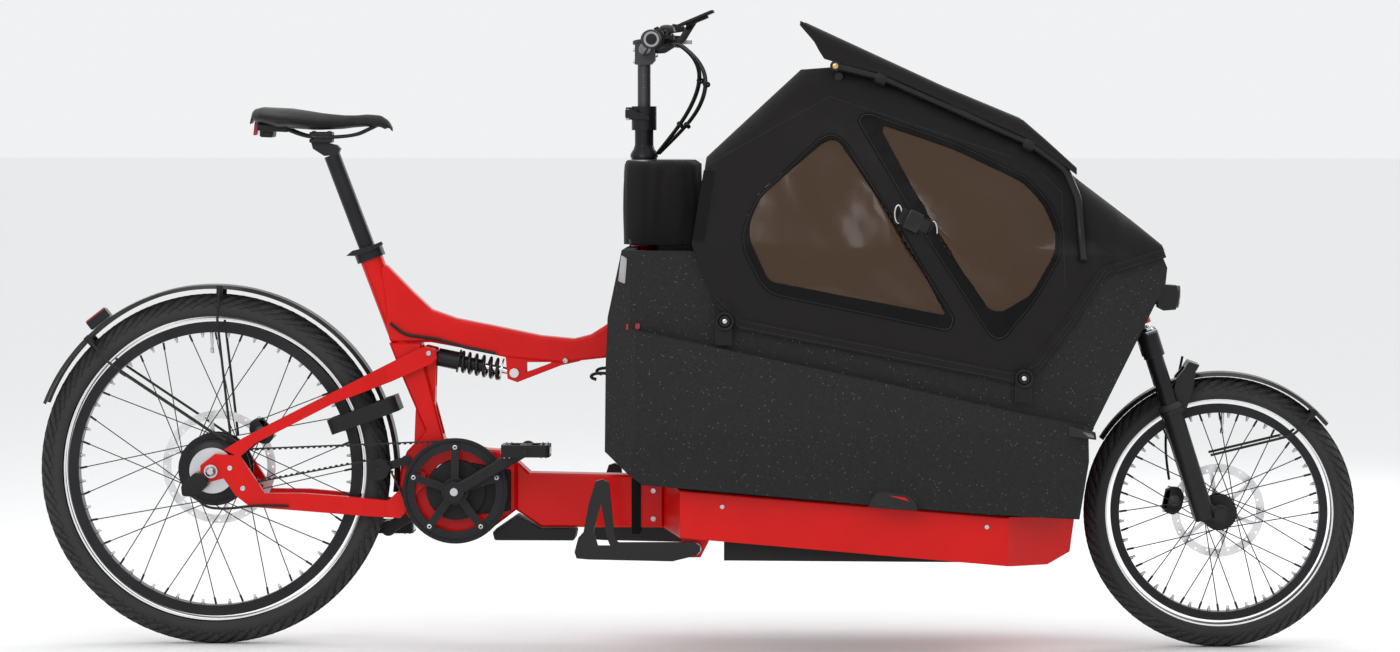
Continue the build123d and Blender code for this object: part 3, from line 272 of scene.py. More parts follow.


# the paler red along the frame's edges is a painted highlight, not abrasion
framePaint = finish("frame paint", (0.60, 0.0035, 0.0025), roughness=0.34, coat=0.14, coatRoughness=0.12,
                    specular=0.14,
                    grainScale=260.0, grainDepth=0.00001, tone=0.04, roughShift=0.04, edgeRadius=0.0022,
                    wear=0.15, wearColour=(0.75, 0.08, 0.06), dust=0.02)
# the grey along the edges of the black paint, such as the stand's edge lines, is a painted highlight
blackPaint = finish("black paint", (0.013, 0.013, 0.0135), roughness=0.36, coat=0.08, grainDepth=0.00001,
                    edgeRadius=0.0014, wear=0.35, wearColour=(0.12, 0.12, 0.12))
blackAnodised = finish("black anodising", (0.022, 0.022, 0.024), roughness=0.34, metallic=0.55,
                       grainScale=1600.0, grainDepth=0.00001, edgeRadius=0.0009, wear=0.5,
                       wearColour=(0.25, 0.25, 0.26))
greyAnodised = finish("grey anodising", (0.06, 0.06, 0.065), roughness=0.38, metallic=0.6,
                      grainScale=1600.0, grainDepth=0.00001, edgeRadius=0.0009, wear=0.4)
steel = finish("steel", (0.55, 0.55, 0.56), roughness=0.3, metallic=1.0, grainScale=1400.0,
               grainDepth=0.000015, tone=0.1, edgeRadius=0.0004, dust=0.0)
rotorSteel = finish("rotor steel", (0.72, 0.72, 0.73), roughness=0.28, metallic=1.0, grainScale=2200.0,
                    grainDepth=0.00002, tone=0.08, edgeRadius=0.0002, dust=0.0)
chrome = finish("chrome", (0.62, 0.62, 0.63), roughness=0.1, metallic=1.0, grainDepth=0.000005,
                roughShift=0.03, edgeRadius=0.0003, dust=0.0)
tyreRubber = finish("tyre rubber", (0.020, 0.020, 0.021), roughness=0.62, grainScale=600.0,
                    grainDepth=0.00008, tone=0.25, edgeRadius=0.0, dust=0.10, specular=0.35)
treadRubber = finish("tread rubber", (0.026, 0.026, 0.027), roughness=0.72, grainScale=700.0,
                     grainDepth=0.0001, tone=0.3, edgeRadius=0.0, dust=0.12, specular=0.3)
beltRubber = finish("belt rubber", (0.024, 0.024, 0.025), roughness=0.6, edgeRadius=0.0004, dust=0.0)
gripRubber = finish("grip rubber", (0.022, 0.022, 0.023), roughness=0.66, grainScale=1500.0,
                    grainDepth=0.0001, edgeRadius=0.0008, specular=0.35)
boxFoam = finish("moulded foam", (0.0150, 0.0150, 0.0155), roughness=0.78, edgeRadius=0.005, beads=True,
                 dust=0.04, tone=0.15, specular=0.22)
mouldedPlastic = finish("moulded plastic", (0.011, 0.011, 0.0115), roughness=0.48, grainScale=1300.0,
                        grainDepth=0.00005, edgeRadius=0.0012, wear=0.2, wearColour=(0.08, 0.08, 0.08))
fenderPlastic = finish("mudguard plastic", (0.014, 0.014, 0.0145), roughness=0.3, coat=0.05,
                       grainScale=800.0, grainDepth=0.00002, edgeRadius=0.0008, dust=0.03)
glossBlack = finish("gloss black", (0.009, 0.009, 0.0095), roughness=0.16, coat=0.25, roughShift=0.03,
                    grainDepth=0.000006, edgeRadius=0.001)
canopyCloth = finish("canopy cloth", (0.0105, 0.0092, 0.0094), roughness=0.84, weave=0.0011, sheen=0.08,
                     patchScale=5.0, tone=0.2, edgeRadius=0.0, dust=0.03, specular=0.18)
liningCloth = finish("seat cloth", (0.045, 0.045, 0.048), roughness=0.9, sheen=0.4, grainScale=700.0,
                     grainDepth=0.0003, edgeRadius=0.0, tone=0.25)
bandVinyl = finish("window band", (0.0035, 0.0035, 0.0035), roughness=0.42, specular=0.10, grainScale=120.0,
                   grainDepth=0.0002, edgeRadius=0.0, dust=0.04)
webbing = finish("webbing", (0.010, 0.010, 0.010), roughness=0.7, grainScale=900.0, grainDepth=0.0004,
                 edgeRadius=0.0005, sheen=0.2)
hookFleece = finish("hook and loop", (0.006, 0.006, 0.006), roughness=0.95, grainScale=1100.0,
                    grainDepth=0.0009, edgeRadius=0.0, sheen=0.1)
saddleVinyl = finish("saddle vinyl", (0.011, 0.011, 0.0115), roughness=0.46, grainScale=650.0,
                     grainDepth=0.00022, edgeRadius=0.0, tone=0.12, dust=0.04)
cableJacket = finish("cable jacket", (0.014, 0.014, 0.015), roughness=0.4, edgeRadius=0.0, dust=0.0)
threadDark = finish("thread", (0.05, 0.048, 0.048), roughness=0.85, edgeRadius=0.0, dust=0.0)
# the reflective stripe glows a little: painted brightness standing for the light it sends back
reflectTape = finish("reflective stripe", (0.78, 0.79, 0.80), roughness=0.35, metallic=0.2,
                     grainScale=3000.0, edgeRadius=0.0, dust=0.0, tone=0.04, emission=0.12)
greyMark = finish("grey marking", (0.30, 0.30, 0.31), roughness=0.5, edgeRadius=0.0, dust=0.0)
greyReflector = finish("grey reflector", (0.32, 0.33, 0.34), roughness=0.25, coat=0.5, grainScale=500.0,
                       grainDepth=0.0003, dust=0.0)
redReflector = finish("red reflector", (0.32, 0.004, 0.010), roughness=0.15, coat=0.8, grainScale=420.0,
                      grainDepth=0.0004, dust=0.0)
print("finishes made")


def clearFinish(name, colour, roughness, share, bumpScale=0.0, bumpDepth=0.0):
    material = bpy.data.materials.new(name)
    material.use_nodes = True
    tree = material.node_tree
    surface = tree.nodes["Principled BSDF"]
    surface.inputs["Base Color"].default_value = solid(colour)
    surface.inputs["Roughness"].default_value = roughness
    surface.inputs["Alpha"].default_value = share
    surface.inputs["Coat Weight"].default_value = 0.12
    surface.inputs["Specular IOR Level"].default_value = 0.3
    surface.inputs["Coat Roughness"].default_value = 0.03
    if bumpDepth > 0:
        ripple = addNode(tree, "ShaderNodeTexNoise", Vector=objectPlace(tree), Scale=bumpScale, Detail=3.0)
        bump = addNode(tree, "ShaderNodeBump", Height=ripple.outputs[0], Distance=bumpDepth)
        plug(tree, surface.inputs["Normal"], bump.outputs[0])
        plug(tree, surface.inputs["Coat Normal"], bump.outputs[0])
    return material


windowFilm = clearFinish("window film", (0.050, 0.024, 0.010), 0.14, 0.90, 7.0, 0.0016)
lampLens = clearFinish("lamp lens", (0.8, 0.82, 0.84), 0.04, 0.35)


# mesh makers; every one leaves its place in its vertices


def grow(target, mesh, slot):
    for face in mesh.polygons:
        face.material_index = slot
    target.from_mesh(mesh)
    bpy.data.meshes.remove(mesh)


def piece(name, parts, body, smooth=40.0):
    blank = bmesh.new()
    materials = []
    for mesh, material in parts:
        if material not in materials:
            materials.append(material)
        grow(blank, mesh, materials.index(material))
    mesh = bpy.data.meshes.new(name)
    blank.to_mesh(mesh)
    blank.free()
    for material in materials:
        mesh.materials.append(material)
    mesh.shade_smooth()
    mesh.set_sharp_from_angle(angle=math.radians(smooth))
    made = bpy.data.objects.new(name, mesh)
    bpy.context.scene.collection.objects.link(made)
    if body:
        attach(made, body)
    return made


def toMesh(blank):
    bmesh.ops.recalc_face_normals(blank, faces=blank.faces)
    mesh = bpy.data.meshes.new("part")
    blank.to_mesh(mesh)
    blank.free()
    return mesh


def softenEdges(blank, width, rounds=2, angle=30.0):
    sharp = [edge for edge in blank.edges
             if len(edge.link_faces) == 2 and edge.calc_face_angle(0) > math.radians(angle)]
    bmesh.ops.bevel(blank, geom=sharp, offset=width, segments=rounds, profile=0.6, affect="EDGES",
                    clamp_overlap=True)


# a side outline given width across the cycle, from y near to y far
def plate(outline, near, far, soft=0.001, rounds=2):
    blank = bmesh.new()
    ring = [blank.verts.new((x, near, z)) for x, z in outline]
    face = blank.faces.new(ring)
    grown = bmesh.ops.extrude_face_region(blank, geom=[face])
    moved = [v for v in grown["geom"] if isinstance(v, bmesh.types.BMVert)]
    bmesh.ops.translate(blank, verts=moved, vec=(0, far - near, 0))
    if soft > 0:
        softenEdges(blank, soft, rounds)
    return toMesh(blank)


# a profile of (radius, distance along the axis) turned about an axis
def turned(profile, centre, axis=(0, 1, 0), sides=40, closed=False):
    blank = bmesh.new()
    way = Vector(axis).normalized()
    across = way.orthogonal().normalized()
    other = way.cross(across)
    centre = Vector(centre)
    rings = []
    for radius, along in profile:
        base = centre + way * along
        if radius < 1e-6:
            rings.append([blank.verts.new(base)])
            continue
        ring = []
        for index in range(sides):
            angle = 2 * math.pi * index / sides
            ring.append(blank.verts.new(base + (across * math.cos(angle) + other * math.sin(angle)) * radius))
        rings.append(ring)
    pairs = list(zip(rings, rings[1:]))
    if closed:
        pairs.append((rings[-1], rings[0]))
    for first, second in pairs:
        for index in range(sides):
            after = (index + 1) % sides
            corners = []
            for ring, place in ((first, index), (first, after), (second, after), (second, index)):
                vert = ring[place % len(ring)]
                if vert not in corners:
                    corners.append(vert)
            if len(corners) > 2:
                blank.faces.new(corners)
    return toMesh(blank)


# a smooth line through control points, round in section
def hose(points, radius, order=3, fineness=8, sides=3, closed=False):
    curve = bpy.data.curves.new("line", "CURVE")
    curve.dimensions = "3D"
    spline = curve.splines.new("NURBS")
    spline.points.add(len(points) - 1)
    for point, place in zip(spline.points, points):
        point.co = (*place, 1.0)
    spline.order_u = order
    spline.use_endpoint_u = not closed
    spline.use_cyclic_u = closed
    curve.resolution_u = fineness
    curve.bevel_depth = radius
    curve.bevel_resolution = sides
    curve.use_fill_caps = not closed
    holder = bpy.data.objects.new("line", curve)
    mesh = bpy.data.meshes.new_from_object(holder)
    bpy.data.objects.remove(holder)
    bpy.data.curves.remove(curve)
    return mesh


def block(size, centre, turn=0.0, soft=0.001, rounds=2):
    blank = bmesh.new()
    bmesh.ops.create_cube(blank, size=1.0)
    bmesh.ops.scale(blank, verts=blank.verts, vec=size)
    softenEdges(blank, soft, rounds)
    place = Matrix.Translation(centre) @ Matrix.Rotation(turn, 4, "Y")
    bmesh.ops.transform(blank, matrix=place, verts=blank.verts)
    return toMesh(blank)


def moved(mesh, matrix):
    mesh.transform(matrix)
    return mesh


def mirrored(mesh):
    twin = mesh.copy()
    twin.transform(Matrix.Scale(-1, 4, (0, 1, 0)))
    twin.flip_normals()
    return twin


def rounded(outline, radius, steps=5):
    points = []
    count = len(outline)
    for index in range(count):
        here = Vector(outline[index])
        before = Vector(outline[index - 1]) - here
        after = Vector(outline[(index + 1) % count]) - here
        reach = min(radius, before.length * 0.45, after.length * 0.45)
        start = here + before.normalized() * reach
        end = here + after.normalized() * reach
        for step in range(steps + 1):
            share = step / steps
            first = start.lerp(here, share)
            second = here.lerp(end, share)
            points.append(tuple(first.lerp(second, share)))
    return points


# the CAD nodes that show as they are, by finish
nodeFinishes = {
    framePaint: ["seat_tube_frame", "top_beam", "lower_beam", "steering_mast", "front_tray",
                 "front_down_tube", "swingarm"],
    blackPaint: ["shock_spring", "fork_lowers", "parking_stand"],
    blackAnodised: ["rear_rim", "front_rim", "rear_hub", "front_hub", "crankset", "chainring", "seat_clamp",
                    "seat_post", "idler_arm", "shock_body", "steering_column", "height_lever", "handlebar",
                    "brake_perches", "right_brake_lever", "left_brake_lever", "fork_upper", "rear_caliper",
                    "front_caliper", "rear_spokes", "front_spokes"],
    greyAnodised: ["stem", "canopy_bows"],
    steel: ["mast_bearings", "pivot_bolts", "rear_axle", "rear_sprocket"],
    rotorSteel: ["rear_rotor", "front_rotor"],
    chrome: ["shock_shaft"],
    boxFoam: ["cargo_box"],
    mouldedPlastic: ["motor", "battery_packs", "ring_lock", "belt_idler", "right_pedal", "left_pedal"],
    fenderPlastic: ["rear_fender", "front_fender"],
    glossBlack: ["headlight", "display"],
    tyreRubber: ["rear_tyre", "front_tyre"],
    beltRubber: ["drive_belt"],
    gripRubber: ["grips"],
    cableJacket: ["bar_cables", "frame_cable"],
    canopyCloth: ["canopy"],
    liningCloth: ["seat_cushions"],
    saddleVinyl: ["saddle"],
}
for material, names in nodeFinishes.items():
    for name in names:
        for holder in nodes[name].material_slots:
            holder.material = material
print("CAD nodes finished")


# one tree that sets copies of a small piece at the points of a mesh, each turned to face out
def buildPlacingTree():
    tree = bpy.data.node_groups.new("place pieces", "GeometryNodeTree")
    for label, kind in (("Spots", "Geometry"), ("Piece", "Object"), ("Finish", "Material")):
        tree.interface.new_socket(label, in_out="INPUT", socket_type="NodeSocket" + kind)
    tree.interface.new_socket("Pieces", in_out="OUTPUT", socket_type="NodeSocketGeometry")
    given = tree.nodes.new("NodeGroupInput").outputs
    result = tree.nodes.new("NodeGroupOutput").inputs
    wanted = {}
    for label, kind in (("out", "FLOAT_VECTOR"), ("way", "FLOAT_VECTOR"), ("size", "FLOAT_VECTOR")):
        reader = addNode(tree, "GeometryNodeInputNamedAttribute", {"data_type": kind}, Name=label)
        wanted[label] = reader.outputs["Attribute"]
    upright = addNode(tree, "FunctionNodeAlignRotationToVector", {"axis": "Z"}, Vector=wanted["out"])
    turnedWay = addNode(tree, "FunctionNodeAlignRotationToVector", {"axis": "X", "pivot_axis": "Z"},
                        Rotation=upright.outputs[0], Vector=wanted["way"])
    source = addNode(tree, "GeometryNodeObjectInfo", Object=given["Piece"])
    copies = addNode(tree, "GeometryNodeInstanceOnPoints", Points=given["Spots"],
                     Instance=source.outputs["Geometry"], Rotation=turnedWay.outputs[0],
                     Scale=wanted["size"])
    real = addNode(tree, "GeometryNodeRealizeInstances", Geometry=copies.outputs[0])
    dressed = addNode(tree, "GeometryNodeSetMaterial", Geometry=real.outputs[0], Material=given["Finish"])
    plug(tree, result["Pieces"], dressed.outputs[0])
    return tree


placingTree = buildPlacingTree()


# spots are (place, out, way) or (place, out, way, size)
def scatter(name, spots, small, material, body, smooth=40.0):
    mesh = bpy.data.meshes.new(name)
    mesh.from_pydata([spot[0] for spot in spots], [], [])
    rows = {"out": [s[1] for s in spots], "way": [s[2] for s in spots],
            "size": [s[3] if len(s) > 3 else (1, 1, 1) for s in spots]}
    for label, values in rows.items():
        column = mesh.attributes.new(label, "FLOAT_VECTOR", "POINT")
        column.data.foreach_set("vector", [part for value in values for part in value])
    small.shade_smooth()
    small.set_sharp_from_angle(angle=math.radians(smooth))
    sample = bpy.data.objects.new(name + "_one", small)
    made = bpy.data.objects.new(name, mesh)
    bpy.context.scene.collection.objects.link(sample)
    bpy.context.scene.collection.objects.link(made)
    live = made.modifiers.new("pieces", "NODES")
    live.node_group = placingTree
    sockets = {item.name: item.identifier for item in placingTree.interface.items_tree
               if item.in_out == "INPUT"}
    live[sockets["Piece"]] = sample
    live[sockets["Finish"]] = material
    bpy.context.view_layer.update()
    ready = made.evaluated_get(bpy.context.evaluated_depsgraph_get())
    final = bpy.data.meshes.new_from_object(ready)
    made.modifiers.clear()
    made.data = final
    if not final.materials:
        final.materials.append(material)
    bpy.data.objects.remove(sample)
    bpy.data.meshes.remove(mesh)
    if body:
        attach(made, body)
    return made


def smallBlock(size, soft, rounds=1):
    return block(size, (0, 0, 0), soft=soft, rounds=rounds)


def socketBolt(radius, height):
    rim = radius * 0.5
    return turned([(radius, 0.0), (radius, height * 0.8), (radius * 0.88, height), (rim, height),
                   (rim, height * 0.35), (0.0, height * 0.35)], (0, 0, 0), (0, 0, 1), sides=18)


# where a CAD node's outside lies at a side view place
def sideAt(name, x, z, side=-1):
    node = nodes[name]
    found, place, normal, _ = node.ray_cast((x, side * 1.0, z), (0, -side, 0))
    if not found:
        raise ValueError(f"nothing of {name} at {x:.3f}, {z:.3f}")
    return place, normal


# canopy: one sewn cover over two bows, with film windows in both sides
canopyCut = {
    "top": [(0.005, 0.783), (0.030, 0.946), (0.207, 1.111), (0.273, 1.116), (0.359, 1.096), (0.638, 0.974),
            (0.706, 0.924), (0.740, 0.896), (0.844, 0.817), (0.892, 0.778), (0.899, 0.757)],
    "hem": [(0.005, 0.781), (0.051, 0.667), (0.094, 0.624), (0.615, 0.523), (0.654, 0.541), (0.723, 0.631),
            (0.785, 0.722), (0.899, 0.755)],
    "plan": [(0.60, 0.311), (0.76, 0.253), (0.906, 0.164)],
    "rise": [(0.78, 0.311), (0.96, 0.276), (1.21, 0.226)],
    "bow": [(0.273, 1.118), (0.359, 1.098), (0.638, 0.974), (0.706, 0.925), (0.731, 0.866), (0.738, 0.800)],
    "bowInside": 0.225, "bowReach": 0.17, "shoulder": 0.045, "thickness": 0.0012,
    "rearWindow": [(0.272, 0.983), (0.289, 0.969), (0.486, 0.648), (0.148, 0.713), (0.111, 0.796),
                   (0.114, 0.831), (0.134, 0.874), (0.249, 0.975)],
    "rearBand": [(0.268, 0.994), (0.296, 0.976), (0.500, 0.645), (0.493, 0.623), (0.479, 0.620),
                 (0.155, 0.687), (0.132, 0.708), (0.100, 0.772), (0.098, 0.808), (0.123, 0.870),
                 (0.244, 0.985)],
    "frontWindow": [(0.364, 1.008), (0.360, 0.995), (0.425, 0.877), (0.560, 0.661), (0.586, 0.655),
                    (0.644, 0.687), (0.687, 0.762), (0.691, 0.802), (0.670, 0.854), (0.629, 0.900),
                    (0.497, 0.963)],
    "frontBand": [(0.313, 1.015), (0.322, 1.028), (0.338, 1.031), (0.378, 1.017), (0.503, 0.974),
                  (0.637, 0.910), (0.681, 0.860), (0.703, 0.804), (0.699, 0.759), (0.653, 0.679),
                  (0.595, 0.608), (0.580, 0.602), (0.563, 0.611), (0.445, 0.793)],
}


def along(points, x):
    if x <= points[0][0]:
        return points[0][1]
    for (x0, v0), (x1, v1) in zip(points, points[1:]):
        if x <= x1:
            return v0 + (v1 - v0) * (x - x0) / (x1 - x0)
    return points[-1][1]


def distanceToLine(points, x, z):
    nearest = 10.0
    here = Vector((x, z))
    for first, second in zip(points, points[1:]):
        start, end = Vector(first), Vector(second)
        run = end - start
        share = max(0.0, min(1.0, (here - start).dot(run) / run.length_squared))
        nearest = min(nearest, (start + run * share - here).length)
    return nearest


def smoothStep(value):
    value = max(0.0, min(1.0, value))
    return value * value * (3 - 2 * value)


# how far the cover stands from the middle plane at a side view place
def canopyHalf(x, z):
    wide = min(along(canopyCut["plan"], x), along(canopyCut["rise"], z))
    near = 1 - smoothStep(distanceToLine(canopyCut["bow"], x, z) / canopyCut["bowReach"])
    above = along(canopyCut["bow"], x)
    if 0.273 < x < 0.70 and z > above:
        near = 1.0
    inside = min(wide, canopyCut["bowInside"])
    taut = wide + (inside - wide) * near
    if x > 0.45 and z < 0.90:
        found, place, _, _ = nodes["cargo_box"].ray_cast((x, -1.0, min(z, 0.755)), (0, 1, 0))
        if found and abs(place.y) > 0.1:
            taut = max(taut, abs(place.y) + 0.006 - max(0.0, z - 0.76) * 0.9)
    slow = noise.noise(Vector((x * 5, z * 7, 2.0))) * 0.0045
    fine = noise.noise(Vector((x * 22 + z * 9, z * 16, 5.0))) * 0.0012
    lower = 1 - smoothStep((z - along(canopyCut["hem"], x)) / 0.12)
    drape = math.sin((x * 0.8 + z) * 95 + noise.noise(Vector((x * 6, z * 6, 0))) * 4) * 0.0035
    front = smoothStep((x - 0.60) / 0.12)
    edge = smoothStep((x - 0.02) / 0.10)
    return taut + (slow + fine) * edge + drape * lower * (0.25 + 0.75 * front)


def densePath(points, step):
    dense = []
    for first, second in zip(points, points[1:]):
        start, end = Vector(first), Vector(second)
        count = max(1, round((end - start).length / step))
        dense += [tuple(start.lerp(end, index / count)) for index in range(count)]
    return dense + [tuple(points[-1])]


def inOutline(outline, x, z):
    inside = False
    for index, (x1, z1) in enumerate(outline):
        x0, z0 = outline[index - 1]
        if (z0 > z) != (z1 > z) and x < (x1 - x0) * (z - z0) / (z1 - z0) + x0:
            inside = not inside
    return inside


def grownOutline(outline, distance):
    area = sum(outline[i - 1][0] * outline[i][1] - outline[i][0] * outline[i - 1][1]
               for i in range(len(outline)))
    turn = 1 if area > 0 else -1
    result = []
    for index, place in enumerate(outline):
        before = (Vector(place) - Vector(outline[index - 1])).normalized()
        after = (Vector(outline[(index + 1) % len(outline)]) - Vector(place)).normalized()
        tangent = (before + after).normalized()
        result.append((place[0] + tangent.y * distance * turn, place[1] - tangent.x * distance * turn))
    return result


# a patch cut to outlines in the side view, laid on the cover at both sides
def coverPatch(outlines, offset, step=0.012, sides=(-1, 1)):
    places, edges = [], []
    for outline in outlines:
        first = len(places)
        places += [Vector(place) for place in outline]
        edges += [(first + i, first + (i + 1) % len(outline)) for i in range(len(outline))]
    xs, zs = [p.x for p in places], [p.y for p in places]
    inner = [grownOutline(outline, -step * 0.5 if order == 0 else step * 0.5)
             for order, outline in enumerate(outlines)]
    for column in range(int((max(xs) - min(xs)) / step) + 1):
        for row in range(int((max(zs) - min(zs)) / step) + 1):
            x, z = min(xs) + column * step, min(zs) + row * step
            if inOutline(inner[0], x, z) and not any(inOutline(other, x, z) for other in inner[1:]):
                places.append(Vector((x, z)))
    cut = geometry.delaunay_2d_cdt(places, edges, [], 1, 0.00001)
    blank = bmesh.new()
    for side in sides:
        made = [blank.verts.new((v.x, side * (canopyHalf(v.x, v.y) + offset), v.y)) for v in cut[0]]
        for face in cut[2]:
            middle = sum((cut[0][i] for i in face), Vector((0, 0))) / len(face)
            if any(inOutline(hole, middle.x, middle.y) for hole in outlines[1:]):
                continue
            corners = [made[i] for i in face]
            blank.faces.new(corners if side < 0 else corners[::-1])
    return blank


def thicken(blank, thickness):
    bmesh.ops.remove_doubles(blank, verts=blank.verts, dist=0.00001)
    bmesh.ops.recalc_face_normals(blank, faces=blank.faces)
    mesh = bpy.data.meshes.new("sheet")
    blank.to_mesh(mesh)
    blank.free()
    holder = bpy.data.objects.new("sheet", mesh)
    bpy.context.scene.collection.objects.link(holder)
    wall = holder.modifiers.new("wall", "SOLIDIFY")
    wall.thickness = thickness
    wall.offset = -1.0
    bpy.context.view_layer.update()
    final = bpy.data.meshes.new_from_object(holder.evaluated_get(bpy.context.evaluated_depsgraph_get()))
    bpy.data.objects.remove(holder)
    bpy.data.meshes.remove(mesh)
    return final


# each face carries its flat place in metres, so the weave runs with the cloth
def spreadFlat(mesh):
    layer = mesh.uv_layers.get("UVMap") or mesh.uv_layers.new(name="UVMap")
    for face in mesh.polygons:
        normal = face.normal
        for corner in face.loop_indices:
            place = mesh.vertices[mesh.loops[corner].vertex_index].co
            if abs(normal.y) > 0.55:
                layer.data[corner].uv = (place.x, place.z)
            elif abs(normal.z) > abs(normal.x):
                layer.data[corner].uv = (place.x, place.y)
            else:
                layer.data[corner].uv = (place.z, place.y)
    return mesh


windowOutlines = [rounded(canopyCut["rearWindow"], 0.016), rounded(canopyCut["frontWindow"], 0.016)]
bandOutlines = [rounded(canopyCut["rearBand"], 0.014), rounded(canopyCut["frontBand"], 0.014)]


def makeCover():
    look = canopyCut
    holes = [grownOutline(outline, 0.006) for outline in windowOutlines]
    stations = densePath(look["top"], 0.009)
    sideRows, roundRows, roofRows = 52, 6, 15
    blank = bmesh.new()
    lines = []
    for x, top in stations:
        hem = min(along(look["hem"], x), top - 0.001)
        reach = min(look["shoulder"], (top - hem) * 0.45)
        half = []
        for row in range(sideRows):
            z = hem + (top - reach - hem) * row / sideRows
            half.append((canopyHalf(x, z), z))
        shoulderHalf = canopyHalf(x, top - reach)
        for row in range(roundRows):
            angle = math.pi / 2 * row / roundRows
            half.append((shoulderHalf - reach * (1 - math.cos(angle)),
                         top - reach + reach * math.sin(angle)))
        for row in range(roofRows + 1):
            share = row / roofRows
            y = (shoulderHalf - reach) * (1 - share)
            sag = 0.006 * math.sin(math.pi * min(1.0, share * 1.0) / 2) * smoothStep((x - 0.03) / 0.1)
            fold = noise.noise(Vector((x * 9, y * 7, 9.0))) * 0.002 * share
            half.append((y, top - sag + fold))
        line = [blank.verts.new((x, -y, z)) for y, z in half]
        line += [blank.verts.new((x, y, z)) for y, z in half[-2::-1]]
        lines.append(line)
    for first, second in zip(lines, lines[1:]):
        for index in range(len(first) - 1):
            corners = (first[index], first[index + 1], second[index + 1], second[index])
            middle = sum((v.co for v in corners), Vector()) / 4
            onSide = abs(middle.y) > 0.2 and middle.z < 1.03
            if onSide and any(inOutline(hole, middle.x, middle.z) for hole in holes):
                continue
            blank.faces.new(corners)
    return thicken(blank, look["thickness"])


roofCut = {
    "upper": [(0.207, 1.203), (0.478, 1.078), (0.627, 1.016), (0.671, 0.978), (0.728, 0.926)],
    "lower": [(0.207, 1.196), (0.240, 1.156), (0.247, 1.133), (0.273, 1.125), (0.359, 1.105),
              (0.638, 0.981), (0.704, 0.932), (0.728, 0.914)],
    "half": 0.241, "shoulder": 0.016, "thickness": 0.0022,
}


def makeRoof():
    look = roofCut
    blank = bmesh.new()
    lines = []
    for x, top in densePath(look["upper"], 0.010):
        low = min(along(look["lower"], x), top - 0.002)
        reach = min(look["shoulder"], (top - low) * 0.5)
        half = [(look["half"] + noise.noise(Vector((x * 11, low * 5, 1))) * 0.002 + 0.001 * (3 - row),
                 low + (top - reach - low) * row / 4)
                for row in range(4)]
        for row in range(5):
            angle = math.pi / 2 * row / 5
            half.append((look["half"] - reach * (1 - math.cos(angle)),
                         top - reach + reach * math.sin(angle)))
        for row in range(15):
            share = row / 14
            y = (look["half"] - reach) * (1 - share)
            crown = -0.004 * math.sin(math.pi * share / 2) + noise.noise(Vector((x * 8, y * 9, 4))) * 0.0018
            half.append((y, top + crown * min(1.0, row / 3)))
        line = [blank.verts.new((x, -y, z)) for y, z in half]
        line += [blank.verts.new((x, y, z)) for y, z in half[-2::-1]]
        lines.append(line)
    for first, second in zip(lines, lines[1:]):
        for index in range(len(first) - 1):
            blank.faces.new((first[index], first[index + 1], second[index + 1], second[index]))
    return thicken(blank, look["thickness"])


# the sleeve that closes the gap round the steering column
sleeveCut = {"front": 0.010, "rear": -0.134, "half": 0.121, "low": 0.777, "high": 0.936, "corner": 0.038,
             "mouth": 0.030}


def makeSleeve():
    look = sleeveCut
    corners = [(look["rear"], -look["half"]), (look["front"], -look["half"]), (look["front"], look["half"]),
               (look["rear"], look["half"])]
    plan = densePath(rounded(corners, look["corner"], 6) + [rounded(corners, look["corner"], 6)[0]],
                     0.006)[:-1]
    centre = Vector(((look["front"] + look["rear"]) / 2, 0))
    blank = bmesh.new()
    rings = []
    levels = [look["low"] + (look["high"] - 0.008 - look["low"]) * i / 12 for i in range(13)]
    for z in levels:
        share = (z - look["low"]) / (look["high"] - look["low"])
        ring = []
        for index, place in enumerate(plan):
            out = Vector(place) - centre
            gather = math.sin(index * 0.9 + noise.noise(Vector((index * 0.13, share * 1.4,
                                                                0))) * 5) * 0.0022
            pull = 0.004 * math.sin(math.pi * share) * noise.noise(Vector((index * 0.05, share, 3)))
            grown = 1 - 0.035 * share ** 3
            swell = gather * (0.25 + 0.75 * share) + pull
            ring.append((*(centre + out * grown + out.normalized() * swell), z))
        rings.append(ring)
    for share in (0.10, 0.35, 0.65, 1.0):
        ring = []
        for place in plan:
            out = Vector(place) - centre
            mouth = Vector((columnX, 0)) + out.normalized() * look["mouth"]
            ring.append((*((centre + out * 0.96).lerp(mouth, share)), look["high"] - 0.004 * share * share))
        rings.append(ring)
    made = [[blank.verts.new(place) for place in ring] for ring in rings]
    for first, second in zip(made, made[1:]):
        for index in range(len(plan)):
            after = (index + 1) % len(plan)
            blank.faces.new((first[index], first[after], second[after], second[index]))
    return thicken(blank, 0.0018)


def ribbonOnCover(path, width, offset, step=0.008):
    dense = densePath(path, step)
    blank = bmesh.new()
    for side in (-1, 1):
        before = None
        for index, place in enumerate(dense):
            ahead = Vector(dense[min(index + 1, len(dense) - 1)]) - Vector(dense[max(index - 1, 0)])
            across = Vector((-ahead.y, ahead.x)).normalized() * width
            edge = (place[0] + across.x, place[1] + across.y)
            row = [blank.verts.new((p[0], side * (canopyHalf(*p) + offset), p[1])) for p in (place, edge)]
            if before:
                blank.faces.new((before[0], row[0], row[1], before[1]) if side < 0 else
                                (before[1], row[1], row[0], before[0]))
            before = row
    return blank


